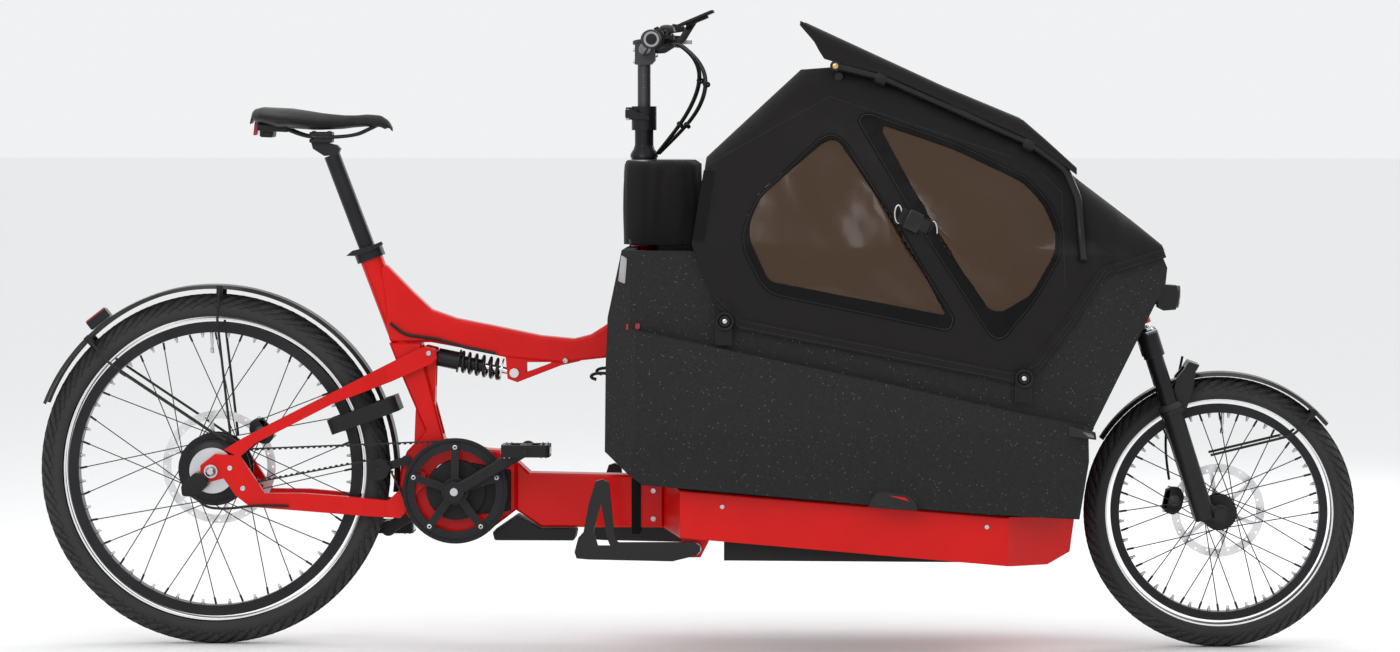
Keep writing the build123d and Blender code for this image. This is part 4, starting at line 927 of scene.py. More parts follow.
def makeCanopy():
    look = canopyCut
    cover = spreadFlat(makeCover())
    roof = spreadFlat(makeRoof())
    sleeve = spreadFlat(makeSleeve())
    hem = spreadFlat(thicken(ribbonOnCover(look["hem"][1:], 0.020, 0.0016), 0.0028))
    bands = []
    for window, band in zip(windowOutlines, bandOutlines):
        ring = coverPatch([densePath(band + band[:1], 0.010)[:-1], grownOutline(window, -0.001)], 0.0012)
        bands.append((thicken(ring, 0.0012), bandVinyl))
    made = piece("canopy_cover", [(cover, canopyCloth), (hem, canopyCloth)] + bands, "frame",
                 60.0)
    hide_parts("canopy")
    roofPiece = piece("canopy_roof", [(roof, canopyCloth)], "frame", 60.0)
    sleevePiece = piece("column_sleeve", [(sleeve, canopyCloth)], "frame", 60.0)
    films = [(thicken(coverPatch([grownOutline(window, 0.009)], -0.0014, 0.016), 0.0006), windowFilm)
             for window in windowOutlines]
    filmPiece = piece("canopy_windows", films, "frame", 60.0)
    return made, roofPiece, sleevePiece, filmPiece


def faceArea(holder):
    return sum(face.area for face in holder.data.polygons) / 2


canopyPieces = makeCanopy()
for made in canopyPieces:
    print(made.name, "cloth area", round(faceArea(made), 3), "m2,", len(made.data.polygons), "faces")


# the bow that carries the cover, outside it, with its joints and rivets
bowLook = {
    "run": [(0.273, 1.118), (0.359, 1.098), (0.638, 0.974), (0.706, 0.925), (0.731, 0.866), (0.740, 0.751)],
    "y": 0.2345, "tube": 0.008, "joint": 0.0125, "crossX": 0.279, "crossZ": 1.098,
}


def makeBow():
    look = bowLook
    parts = []
    for side in (-1, 1):
        dense = densePath(look["run"], 0.04)
        route = [(x, side * max(look["y"], canopyHalf(x, z) + 0.0095), z) for x, z in dense]
        parts.append((hose(route, look["tube"], order=3, fineness=14, sides=4), blackAnodised))
        for x, z in (look["run"][1], look["run"][2]):
            way = Vector((0.9, 0, -0.42)).normalized()
            profile = [(0.0, -0.011), (look["joint"] - 0.002, -0.011), (look["joint"], -0.008),
                       (look["joint"], 0.008), (look["joint"] - 0.002, 0.011), (0.0, 0.011)]
            parts.append((turned(profile, (x, side * look["y"], z - 0.004), way, sides=20), mouldedPlastic))
        cap = [(0.0, -0.002), (0.010, -0.002), (0.010, 0.004), (0.007, 0.006), (0.0, 0.006)]
        parts.append((turned(cap, (0.273, side * (look["y"] + 0.006), 1.118), (0, side, 0), sides=20),
                      blackAnodised))
        rivet = [(0.0055, 0.0), (0.0055, 0.001), (0.004, 0.002), (0.0, 0.0022)]
        parts.append((turned(rivet, (0.273, side * (look["y"] + 0.012), 1.118), (0, side, 0), sides=16),
                      brass))
    cross = [(look["crossX"], y, look["crossZ"]) for y in (-0.228, -0.12, 0, 0.12, 0.228)]
    parts.append((hose(cross, look["tube"], sides=4), blackAnodised))
    made = piece("canopy_bow_tubes", parts, "frame")
    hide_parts("canopy_bows")
    return made


brass = finish("brass", (0.62, 0.40, 0.14), roughness=0.25, metallic=1.0, edgeRadius=0.0, dust=0.0)
makeBow()

fittingLook = {"knobs": [(0.067, 0.639), (0.629, 0.532)], "strap": (0.425, 0.825), "strapTurn": 0.44}


def makeFittings():
    look = fittingLook
    parts, tabs = [], []
    profile = [(0.0, 0.004), (0.006, 0.004), (0.007, 0.006), (0.010, 0.0065), (0.0125, 0.004),
               (0.0135, 0.009), (0.0165, 0.010), (0.0172, 0.007), (0.0172, 0.0), (0.0, 0.0)]
    for side in (-1, 1):
        for x, z in look["knobs"]:
            y = side * (canopyHalf(x, z) + 0.0045)
            parts.append((turned(profile[::-1], (x, y, z), (0, side, 0), sides=30), mouldedPlastic))
            eye = [(0.0, 0.0), (0.0045, 0.0), (0.0045, 0.0052), (0.003, 0.006), (0.0, 0.006)]
            parts.append((turned(eye, (x, y, z), (0, side, 0), sides=16), steel))
            tabs.append((block((0.030, 0.0035, 0.050),
                               (x - 0.002, side * (canopyHalf(x, z - 0.02) + 0.0035),
                                                        z - 0.020), 0.0, 0.0012), webbing))
        x, z = look["strap"]
        y = side * (canopyHalf(x, z) + 0.004)
        turn = look["strapTurn"]
        tabs.append((block((0.066, 0.004, 0.030), (x, y, z), turn, 0.0012), webbing))
        parts.append((block((0.030, 0.009, 0.038), (x - 0.004, y + side * 0.004, z + 0.002), turn, 0.003,
                            3),
                      glossBlack))
        parts.append((block((0.020, 0.006, 0.024), (x + 0.016, y + side * 0.004, z - 0.007), turn, 0.0022,
                            3),
                      mouldedPlastic))
        for shift in (-0.036, 0.037):
            cx, cz = x + shift * math.cos(turn), z - shift * math.sin(turn)
            ring = [(cx + 0.006 * math.cos(a) * 1.2, y, cz + 0.018 * math.sin(a)) for a in
                    [math.pi * i / 4 for i in range(8)]]
            parts.append((hose(ring, 0.0017, closed=True), steel))
    strips = ribbonOnCover([(0.006, 0.792), (0.026, 0.922)], -0.021, 0.0022)
    made = piece("canopy_knobs", parts, "frame")
    tabPiece = piece("canopy_tabs", tabs + [(thicken(strips, 0.0022), hookFleece)], "frame")
    return made, tabPiece


makeFittings()

# rows of stitches beside the hem, the window bands and the roof edge
stitchLook = {"pitch": 0.0055, "size": (0.0034, 0.0009, 0.0007)}


def stitchSpots(path, lift):
    spots = []
    dense = densePath(path, stitchLook["pitch"])
    for first, second in zip(dense, dense[1:]):
        for side in (-1, 1):
            x, z = (first[0] + second[0]) / 2, (first[1] + second[1]) / 2
            y = side * (canopyHalf(x, z) + lift)
            slopeX = (canopyHalf(x + 0.004, z) - canopyHalf(x - 0.004, z)) / 0.008
            slopeZ = (canopyHalf(x, z + 0.004) - canopyHalf(x, z - 0.004)) / 0.008
            out = Vector((-slopeX, side, -slopeZ)).normalized()
            spots.append(((x, y, z), tuple(out), (second[0] - first[0], 0, second[1] - first[1])))
    return spots


def makeStitches():
    hem = canopyCut["hem"][1:]
    rows = [(x, z + 0.016) for x, z in hem], [(x, z + 0.004) for x, z in hem]
    spots = stitchSpots(rows[0], 0.0021) + stitchSpots(rows[1], 0.0021)
    for band in bandOutlines:
        inner = grownOutline(band, -0.0035)
        spots += stitchSpots(inner + inner[:1], 0.0017)
    seam = [(0.030, 0.930), (0.262, 1.060), (0.64, 0.935), (0.700, 0.880), (0.706, 0.700)]
    spots += stitchSpots(seam, 0.0004)
    scatter("canopy_stitches", spots, smallBlock(stitchLook["size"], 0.0002), threadDark, "frame")


makeStitches()

# the film in the front slope of the cover
frontFilm = {"rearX": 0.752, "frontX": 0.832, "rearHalf": 0.150, "frontHalf": 0.118, "lift": 0.003}


def makeFrontFilm():
    look = frontFilm

    def strip(grown, lift):
        blank = bmesh.new()
        rows = []
        for i in range(9):
            share = i / 8
            x = look["rearX"] - grown + (look["frontX"] - look["rearX"] + 2 * grown) * share
            half = look["rearHalf"] + grown + (look["frontHalf"] - look["rearHalf"]) * share
            z = along(canopyCut["top"], x) + lift - 0.003
            rows.append([blank.verts.new((x, half * (j / 8 - 1), z - 0.001 * math.sin(math.pi * j / 16)))
                         for j in range(17)])
        for first, second in zip(rows, rows[1:]):
            for a, b, c, d in zip(first, first[1:], second[1:], second):
                blank.faces.new((a, b, c, d))
        return thicken(blank, 0.0008)

    piece("front_window", [(strip(0.010, 0.0018), bandVinyl), (strip(0.0, 0.0032), windowFilm)], "frame",
          60.0)


makeFrontFilm()
print("canopy fittings made")


# tyres: a turned casing with shoulder blocks, a reflective ring and a valve
wheelLooks = {
    "rear": {"centre": rearHub, "outer": 0.339, "bead": 0.2795, "stripe": 0.291, "blocks": 84,
             "valve": (-0.9365, 0.339 + 0.2645), "inner": 0.2645, "body": "rear_wheel",
             "node": "rear_tyre"},
    "front": {"centre": frontHub, "outer": 0.260, "bead": 0.203, "stripe": 0.217, "blocks": 66,
              "valve": (1.015, 0.260 + 0.192), "inner": 0.192, "body": "front_wheel", "node": "front_tyre"},
}
tyreHalf = 0.0290
treadLift = 0.0032


def makeTyre(label, look):
    centre = (look["centre"][0], 0, look["centre"][1])
    rise = look["outer"] - look["bead"]
    middle = look["bead"] + rise * 0.48
    crown = look["outer"] - treadLift - middle
    skin = []
    for index in range(25):
        angle = -math.pi * 0.655 + 2 * math.pi * 0.655 * index / 24
        skin.append((middle + math.cos(angle) * crown, math.sin(angle) * tyreHalf))
    lining = []
    for radius, y in skin[::-1]:
        thin = 0.0035 * math.copysign(1, radius - middle) if abs(radius - middle) > 0.006 else 0.0
        lining.append((radius - thin, y * 0.86))
    casing = turned(skin + lining, centre, sides=160, closed=True)
    parts = [(casing, tyreRubber)]
    for side in (-1, 1):
        for radius, width, lift, material in ((look["stripe"], 0.0030, 0.0007, reflectTape),
                                              (look["stripe"] + 0.0075, 0.0010, 0.0006, tyreRubber),
                                              (look["outer"] - 0.021, 0.0010, 0.0006, tyreRubber)):
            reach = max(-1.0, min(1.0, (radius - middle) / crown))
            place = tyreHalf * math.sqrt(1 - reach * reach)
            band = []
            for step in range(5):
                r = radius + width * (step / 4 - 0.5)
                share = max(-1.0, min(1.0, (r - middle) / crown))
                band.append((r, side * (tyreHalf * math.sqrt(1 - share * share) + lift)))
            back = [(r, side * (abs(y) - lift - 0.0008)) for r, y in band[::-1]]
            parts.append((turned(band + back, centre, sides=160, closed=True), material))
    made = piece(label + "_tyre_casing", parts, look["body"])
    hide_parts(look["node"])
    spots = []
    rows = [(0.10, 0.0), (0.52, 0.5), (0.86, 0.0), (1.14, 0.5)]
    for index in range(look["blocks"]):
        for tilt, shift in rows:
            for side in (-1, 1):
                angle = 2 * math.pi * (index + shift + (0.5 if side > 0 else 0)) / look["blocks"]
                radial = Vector((math.cos(angle), 0, math.sin(angle)))
                roundWay = Vector((-math.sin(angle), 0, math.cos(angle)))
                out = radial * math.cos(tilt) + Vector((0, side, 0)) * math.sin(tilt)
                radius = middle + math.cos(tilt) * crown
                place = Vector(centre) + radial * radius + Vector((0, side * tyreHalf * math.sin(tilt), 0))
                slant = 0.35 if tilt < 0.3 else 0.62
                across = Vector((0, side, 0)) * math.cos(tilt) - radial * math.sin(tilt)
                size = (1.0, 1.0, 1.0) if tilt < 1.0 else (1.35, 0.42, 0.8)
                way = roundWay + across * slant
                spots.append((tuple(place - out * 0.001), tuple(out), tuple(way), size))
    knob = smallBlock((2 * math.pi * look["outer"] / look["blocks"] * 0.66, 0.0095, 0.0082), 0.0009)
    scatter(label + "_tread", spots, knob, treadRubber, look["body"])
    x, z = look["valve"]
    inward = (Vector(centre) - Vector((x, 0, z))).normalized()
    stem = [(0.0, 0.0), (0.0032, 0.0), (0.0032, 0.022), (0.0026, 0.023), (0.0026, 0.030), (0.0038, 0.031),
            (0.0038, 0.038), (0.003, 0.040), (0.0, 0.040)]
    piece(label + "_valve", [(turned(stem, Vector((x, 0, z)) + inward * 0.001, inward, sides=14), steel)],
          look["body"])


for label, look in wheelLooks.items():
    makeTyre(label, look)
print("tyres made")


# brass-grey nipples where each spoke meets its rim
def makeNipples(label, look, count=32):
    spots = []
    for index in range(count):
        angle = 2 * math.pi * (index + 0.5) / count
        radial = Vector((math.cos(angle), 0, math.sin(angle)))
        place = Vector((look["centre"][0], 0.004 * (-1) ** index,
                        look["centre"][1])) + radial * (look["inner"] + 0.001)
        spots.append((tuple(place), tuple(-radial), (0, 1, 0)))
    profile = [(0.0034, 0.0), (0.0034, 0.005), (0.0025, 0.006), (0.0022, 0.011), (0.0, 0.0112)]
    scatter(label + "_nipples", spots, turned(profile, (0, 0, 0), (0, 0, 1), sides=10), steel, look["body"])


for label, look in wheelLooks.items():
    makeNipples(label, look)


# toothed belt round the crank, the idler and the rear sprocket; each circle is centre, radius, sense
beltLook = {
    "circles": [(rearHub, 0.03852, 1), ((-0.609, 0.3415), 0.02035, -1), (crankHub, 0.09629, 1)],
    "y": -0.057, "width": 0.012, "back": 0.0024, "tooth": (0.0052, 0.0115, 0.0030), "pitch": 0.011,
}


def beltRoute(look):
    circles = look["circles"]
    runs = []
    for index, (here, radius, sense) in enumerate(circles):
        there, nextRadius, nextSense = circles[(index + 1) % len(circles)]
        gap = Vector(there) - Vector(here)
        offset = (nextSense * nextRadius - sense * radius) / gap.length
        base = math.atan2(gap.y, gap.x) - math.atan2(offset, math.sqrt(1 - offset * offset))
        normal = Vector((-math.sin(base), math.cos(base)))
        runs.append((Vector(here) - normal * sense * radius,
                     Vector(there) - normal * nextSense * nextRadius))
    path = []
    for index, (here, radius, sense) in enumerate(circles):
        arrive, leave = runs[index - 1][1], runs[index][0]
        first = math.atan2(*(arrive - Vector(here)).yx)
        last = math.atan2(*(leave - Vector(here)).yx)
        turn = ((last - first) * sense) % (2 * math.pi)
        steps = max(3, int(turn * radius / 0.0035))
        for step in range(steps):
            angle = first + sense * turn * step / steps
            path.append(tuple(Vector(here) + Vector((math.cos(angle), math.sin(angle))) * radius))
        count = max(1, int((runs[index][1] - leave).length / 0.006))
        path += [tuple(leave.lerp(runs[index][1], step / count)) for step in range(count)]
    return path


def evenlyAlong(path, pitch):
    closed = path + path[:1]
    lengths = [(Vector(b) - Vector(a)).length for a, b in zip(closed, closed[1:])]
    count = round(sum(lengths) / pitch)
    spacing = sum(lengths) / count
    spots, travelled, wanted = [], 0.0, 0.0
    for (a, b), length in zip(zip(closed, closed[1:]), lengths):
        while length > 0 and wanted < travelled + length and len(spots) < count:
            share = (wanted - travelled) / length
            spots.append((Vector(a).lerp(Vector(b), share), (Vector(b) - Vector(a)).normalized()))
            wanted += spacing
        travelled += length
    return spots


def makeBelt():
    look = beltLook
    path = beltRoute(look)
    area = sum(a[0] * b[1] - b[0] * a[1] for a, b in zip(path, path[1:] + path[:1]))
    turn = 1 if area > 0 else -1
    blank = bmesh.new()
    rings = []
    for index, place in enumerate(path):
        ahead = Vector(path[(index + 1) % len(path)]) - Vector(path[index - 1])
        out = Vector((ahead.y, -ahead.x)).normalized() * turn
        half, back = look["width"] / 2, look["back"] / 2
        rings.append([blank.verts.new((place[0] + out.x * lift, look["y"] + wide, place[1] + out.y * lift))
                      for wide, lift in ((-half, -back), (-half, back), (half, back), (half, -back))])
    for index, ring in enumerate(rings):
        after = rings[(index + 1) % len(rings)]
        for corner in range(4):
            follow = (corner + 1) % 4
            blank.faces.new((ring[corner], ring[follow], after[follow], after[corner]))
    parts = [(toMesh(blank), beltRubber)]
    made = piece("belt_band", parts, None, 30.0)
    spots = []
    for place, way in evenlyAlong(path, look["pitch"]):
        inner = Vector((-way.y, way.x)) * turn
        spots.append(((place.x + inner.x * 0.002, look["y"], place.y + inner.y * 0.002),
                      (inner.x, 0, inner.y), (way.x, 0, way.y)))
    teeth = scatter("belt_teeth", spots, smallBlock(look["tooth"], 0.0009), beltRubber, None)
    for item in (made, teeth):
        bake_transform(item)
    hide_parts("drive_belt")
    return made


makeBelt()

# coil spring of the rear shock
springLook = {"start": (-0.512, 0.559), "end": (-0.349, 0.526), "radius": 0.019, "wire": 0.0034,
              "turns": 6.0, "from": 0.059, "to": 0.138}


def makeSpring():
    look = springLook
    start = Vector((look["start"][0], 0, look["start"][1]))
    way = (Vector((look["end"][0], 0, look["end"][1])) - start).normalized()
    side = Vector((0, 1, 0))
    up = way.cross(side)
    steps = int(look["turns"] * 20)
    route = []
    for step in range(steps + 1):
        angle = 2 * math.pi * step / 20
        share = step / steps
        squeezed = smoothStep(share * 0.9 + 0.05) * 0.25 + share * 0.75
        spanAlong = look["from"] + (look["to"] - look["from"]) * squeezed
        turn = side * math.cos(angle) + up * math.sin(angle)
        route.append(start + way * spanAlong + turn * look["radius"])
    made = piece("spring_coil", [(hose(route, look["wire"], order=4, fineness=2, sides=3), glossBlack)],
                 None, 60.0)
    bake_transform(made)
    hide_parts("shock_spring")
    return made


makeSpring()

# four hoses from the levers and the shifter to the column, and their clip rings
hoseLook = {
    "left": [(-0.044, 0.136, 1.166), (-0.020, 0.116, 1.150), (0.008, 0.094, 1.124), (0.020, 0.072, 1.088),
             (0.012, 0.050, 1.048), (-0.012, 0.034, 1.008), (-0.046, 0.022, 0.974),
             (-0.072, 0.012, 0.948)],
    "right": [(-0.044, -0.136, 1.166), (-0.022, -0.112, 1.156), (0.004, -0.092, 1.134),
              (0.014, -0.066, 1.096), (0.000, -0.044, 1.052), (-0.024, -0.030, 1.010),
              (-0.052, -0.020, 0.975), (-0.074, -0.012, 0.948)],
    "radius": 0.0025,
}


def makeHoses():
    look = hoseLook
    parts, clips = [], []
    for label, shift in (("left", -0.004), ("left", 0.004), ("right", -0.004), ("right", 0.004)):
        route = [(x + shift * 0.4, y + shift, z) for x, y, z in look[label]]
        parts.append((hose(route, look["radius"], order=4, fineness=6, sides=3), cableJacket))
    for label in ("left", "right"):
        for index in (3, 5):
            here, after = Vector(look[label][index]), Vector(look[label][index + 1])
            ring = [(0.0068, -0.003), (0.0075, -0.002), (0.0075, 0.002), (0.0068, 0.003)]
            clips.append((turned(ring, here.lerp(after, 0.15), after - here, sides=18, closed=True),
                          mouldedPlastic))
    made = piece("bar_hoses", parts, None, 60.0)
    clipPiece = piece("hose_clips", clips, None)
    for item in (made, clipPiece):
        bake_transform(item)
    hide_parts("bar_cables")


makeHoses()
print("belt, spring and hoses made")


# saddle: padded shell on two rails, with a damper block and a reflector under the rear
saddleLook = {
    "top": [(-0.858, 1.016), (-0.852, 1.034), (-0.834, 1.0385), (-0.781, 1.036), (-0.723, 1.028),
            (-0.680, 1.0245), (-0.636, 1.025), (-0.607, 1.022), (-0.592, 1.012), (-0.585, 1.000)],
    "half": [(-0.858, 0.030), (-0.850, 0.062), (-0.834, 0.080), (-0.805, 0.088), (-0.775, 0.083),
             (-0.740, 0.058), (-0.700, 0.036), (-0.655, 0.024), (-0.610, 0.021), (-0.592, 0.016),
             (-0.585, 0.006)],
    "depth": [(-0.858, 0.010), (-0.845, 0.030), (-0.800, 0.040), (-0.740, 0.036), (-0.660, 0.026),
              (-0.600, 0.022), (-0.585, 0.006)],
}


def makeSaddle():
    look = saddleLook
    blank = bmesh.new()
    rings = []
    count = 56
    for index in range(count + 1):
        x = -0.858 + (0.858 - 0.585) * index / count
        half, top, depth = along(look["half"], x), along(look["top"], x), along(look["depth"], x)
        ring = []
        for step in range(32):
            angle = 2 * math.pi * step / 32
            y = math.copysign(abs(math.cos(angle)) ** 0.75, math.cos(angle)) * half
            up = math.sin(angle)
            crown = top - depth * 0.45 + math.copysign(abs(up) ** 0.8,
                                                       up) * depth * (0.45 if up > 0 else 0.55)
            reach = smoothStep((x + 0.84) / 0.05) * smoothStep((-0.62 - x) / 0.05)
            groove = 0.004 * math.exp(-(y / 0.011) ** 2) * reach
            if up > 0:
                crown -= groove
                crown -= 0.006 * (abs(y) / max(half, 0.001)) ** 3
            ring.append(blank.verts.new((x, y, crown)))
        rings.append(ring)
    for first, second in zip(rings, rings[1:]):
        for index in range(32):
            after = (index + 1) % 32
            blank.faces.new((first[index], first[after], second[after], second[index]))
    blank.faces.new(rings[0])
    blank.faces.new(rings[-1])
    shell = toMesh(blank)
    cover = piece("saddle_cover", [(shell, saddleVinyl)], "seat", 60.0)
    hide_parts("saddle")
    parts = []
    for side in (-1, 1):
        rail = [(-0.800, side * 0.030, 1.002), (-0.775, side * 0.029, 0.990),
                (-0.742, side * 0.0225, 0.980), (-0.700, side * 0.022, 0.980),
                (-0.655, side * 0.020, 0.984), (-0.630, side * 0.012, 0.996), (-0.615, side * 0.006, 1.003)]
        parts.append((hose(rail, 0.0036, fineness=8, sides=3), blackAnodised))
    parts.append((block((0.060, 0.096, 0.014), (-0.812, 0, 0.9985), 0.05, 0.004, 3), mouldedPlastic))
    parts.append((block((0.026, 0.070, 0.018), (-0.826, 0, 0.989), 0.05, 0.005, 3), mouldedPlastic))
    parts.append((block((0.044, 0.052, 0.010), (-0.722, 0, 0.9855), 0.0, 0.003, 3), blackAnodised))
    parts.append((block((0.044, 0.052, 0.008), (-0.722, 0, 0.9735), 0.0, 0.003, 3), blackAnodised))
    for x in (-0.737, -0.707):
        parts.append((turned([(0.0, -0.018), (0.0027, -0.018), (0.0027, 0.012), (0.0046, 0.012),
                              (0.0046, 0.016), (0.002, 0.017), (0.0, 0.014)], (x, 0, 0.9755), sides=14,
                             axis=(0, 0, 1)),
                      steel))
    reflector = [(-0.853, 0.984), (-0.846, 0.984), (-0.843, 1.008), (-0.850, 1.010)]
    parts.append((plate(reflector, -0.020, 0.020, 0.0015, 3), redReflector))
    piece("saddle_rails", parts, "seat")
    rows = []
    for side in (-1, 1):
        for index in range(70):
            x = -0.835 + 0.235 * index / 70
            half, top, depth = along(look["half"], x), along(look["top"], x), along(look["depth"], x)
            ahead = along(look["half"], x + 0.003) - half
            rows.append(((x, side * (half + 0.0001), top - depth * 0.47), (0, side, 0.1),
                         (0.003, side * ahead, 0)))
    scatter("saddle_stitches", rows, smallBlock((0.0025, 0.0008, 0.0007), 0.0002), threadDark, "seat")


makeSaddle()

# bench cushions inside the box: pillows blown up under cloth simulation, then applied
cushionLook = {
    "bench": {"outline": [(0.020, 0.476), (0.028, 0.528), (0.334, 0.528), (0.348, 0.515), (0.343, 0.476)],
              "half": 0.212},
    "back": {"outline": [(0.022, 0.552), (0.036, 0.866), (0.060, 0.870), (0.080, 0.552)], "half": 0.202},
}


pillowLook = {"grid": 0.0095, "pressure": 3.0, "frames": 16, "most": 0.010, "plain": 0.004}


def pillow(name, look):
    mesh = plate(look["outline"], -look["half"], look["half"], 0.010, 3)
    holder = bpy.data.objects.new(name, mesh)
    bpy.context.scene.collection.objects.link(holder)
    grid = holder.modifiers.new("grid", "REMESH")
    grid.mode = "VOXEL"
    grid.voxel_size = pillowLook["grid"]
    bpy.context.view_layer.update()
    rest = bpy.data.meshes.new_from_object(holder.evaluated_get(bpy.context.evaluated_depsgraph_get()))
    holder.modifiers.clear()
    holder.data = rest
    before = [v.co.copy() for v in rest.vertices]
    cloth = holder.modifiers.new("cloth", "CLOTH")
    cloth.settings.use_pressure = True
    cloth.settings.uniform_pressure_force = pillowLook["pressure"]
    cloth.settings.effector_weights.gravity = 0.0
    cloth.settings.tension_stiffness = 18.0
    cloth.point_cache.frame_start = 1
    cloth.point_cache.frame_end = pillowLook["frames"]
    for frameNumber in range(1, pillowLook["frames"] + 1):
        bpy.context.scene.frame_set(frameNumber)
    blown = bpy.data.meshes.new_from_object(holder.evaluated_get(bpy.context.evaluated_depsgraph_get()))
    holder.modifiers.clear()
    for vert, start in zip(blown.vertices, before):
        shift = vert.co - start
        if shift.length > pillowLook["most"]:
            vert.co = start + shift.normalized() * pillowLook["most"]
    holder.data = blown
    bpy.context.scene.frame_set(1)
    final = holder.data.copy()
    bpy.data.objects.remove(holder)
    return final


def makeCushions():
    for label, look in cushionLook.items():
        shape = pillow(label, look)
        cushion = piece("cushion_" + label, [(shape, liningCloth)], "frame", 60.0)
    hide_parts("seat_cushions")
    straps = []
    for y in (-0.13, -0.07, 0.07, 0.13):
        run = [(0.078, 0.80), (0.100, 0.72), (0.110, 0.62), (0.150, 0.560)]
        blank = bmesh.new()
        rows = []
        for x, z in densePath(run, 0.012):
            rows.append([blank.verts.new((x, y + wide, z)) for wide in (-0.012, 0.012)])
        for first, second in zip(rows, rows[1:]):
            blank.faces.new((first[0], second[0], second[1], first[1]))
        straps.append((thicken(blank, 0.0014), webbing))
    for y in (-0.10, 0.10):
        straps.append((block((0.014, 0.052, 0.042), (0.150, y, 0.566), 0.5, 0.004, 3), buckleBlack))
    piece("seat_harness", straps, "frame")


buckleBlack = finish("buckle plastic", (0.03, 0.03, 0.032), roughness=0.4, dust=0.0)
makeCushions()
print("saddle and cushions made")


# grips with palm rests, bar end rings, bell, remote and the tilted display
barLook = {"gripInner": 0.208, "gripOuter": 0.340, "axisX": (-0.0777, -0.070), "z": 1.168, "radius": 0.0165}


def makeGrips():
    look = barLook
    parts = []
    for side in (-1, 1):
        start = Vector((look["axisX"][0], side * look["gripInner"], look["z"]))
        end = Vector((look["axisX"][1], side * look["gripOuter"], look["z"]))
        way = (end - start).normalized()
        length = (end - start).length
        profile = [(0.0115, 0.0), (0.0185, 0.0), (0.0185, 0.006), (0.0155, 0.008)]
        steps = 40
        for step in range(steps + 1):
            share = step / steps
            rib = 0.0004 * math.sin(share * 90)
            profile.append((0.0158 + rib + 0.0010 * math.sin(math.pi * share),
                            0.009 + (length - 0.017) * share))
        profile += [(0.0185, length - 0.007), (0.0185, length), (0.0165, length + 0.004),
                    (0.0, length + 0.004)]
        parts.append((turned(profile, start, way, sides=36), gripRubber))
        wing = rounded([(-0.102, 0.258), (-0.070, 0.250), (-0.063, 0.300), (-0.064, 0.336), (-0.100, 0.336),
                        (-0.108, 0.300)], 0.014)
        blank = bmesh.new()
        face = blank.faces.new([blank.verts.new((x, side * y, 1.1625)) for x, y in wing])
        grown = bmesh.ops.extrude_face_region(blank, geom=[face])
        bmesh.ops.translate(blank, verts=[v for v in grown["geom"] if isinstance(v, bmesh.types.BMVert)],
                            vec=(0, 0, 0.009))
        softenEdges(blank, 0.004, 4)
        for vert in blank.verts:
            vert.co.z += -0.16 * max(0.0, -0.070 - vert.co.x)
        parts.append((toMesh(blank), gripRubber))
        ring = [(0.0105, length + 0.0035), (0.0145, length + 0.0035), (0.0145, length + 0.0050),
                (0.0105, length + 0.0050)]
        parts.append((turned(ring, start, way, sides=36, closed=True), greyMark))
        cap = [(0.0095, length + 0.0035), (0.0095, length + 0.0046), (0.0, length + 0.0050)]
        parts.append((turned(cap, start, way, sides=24), blackAnodised))
    made = piece("grip_sleeves", parts, "riser")
    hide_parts("grips")


displayLook = {"front": (0.035, 1.2235), "rear": (-0.031, 1.1955), "half": 0.033}


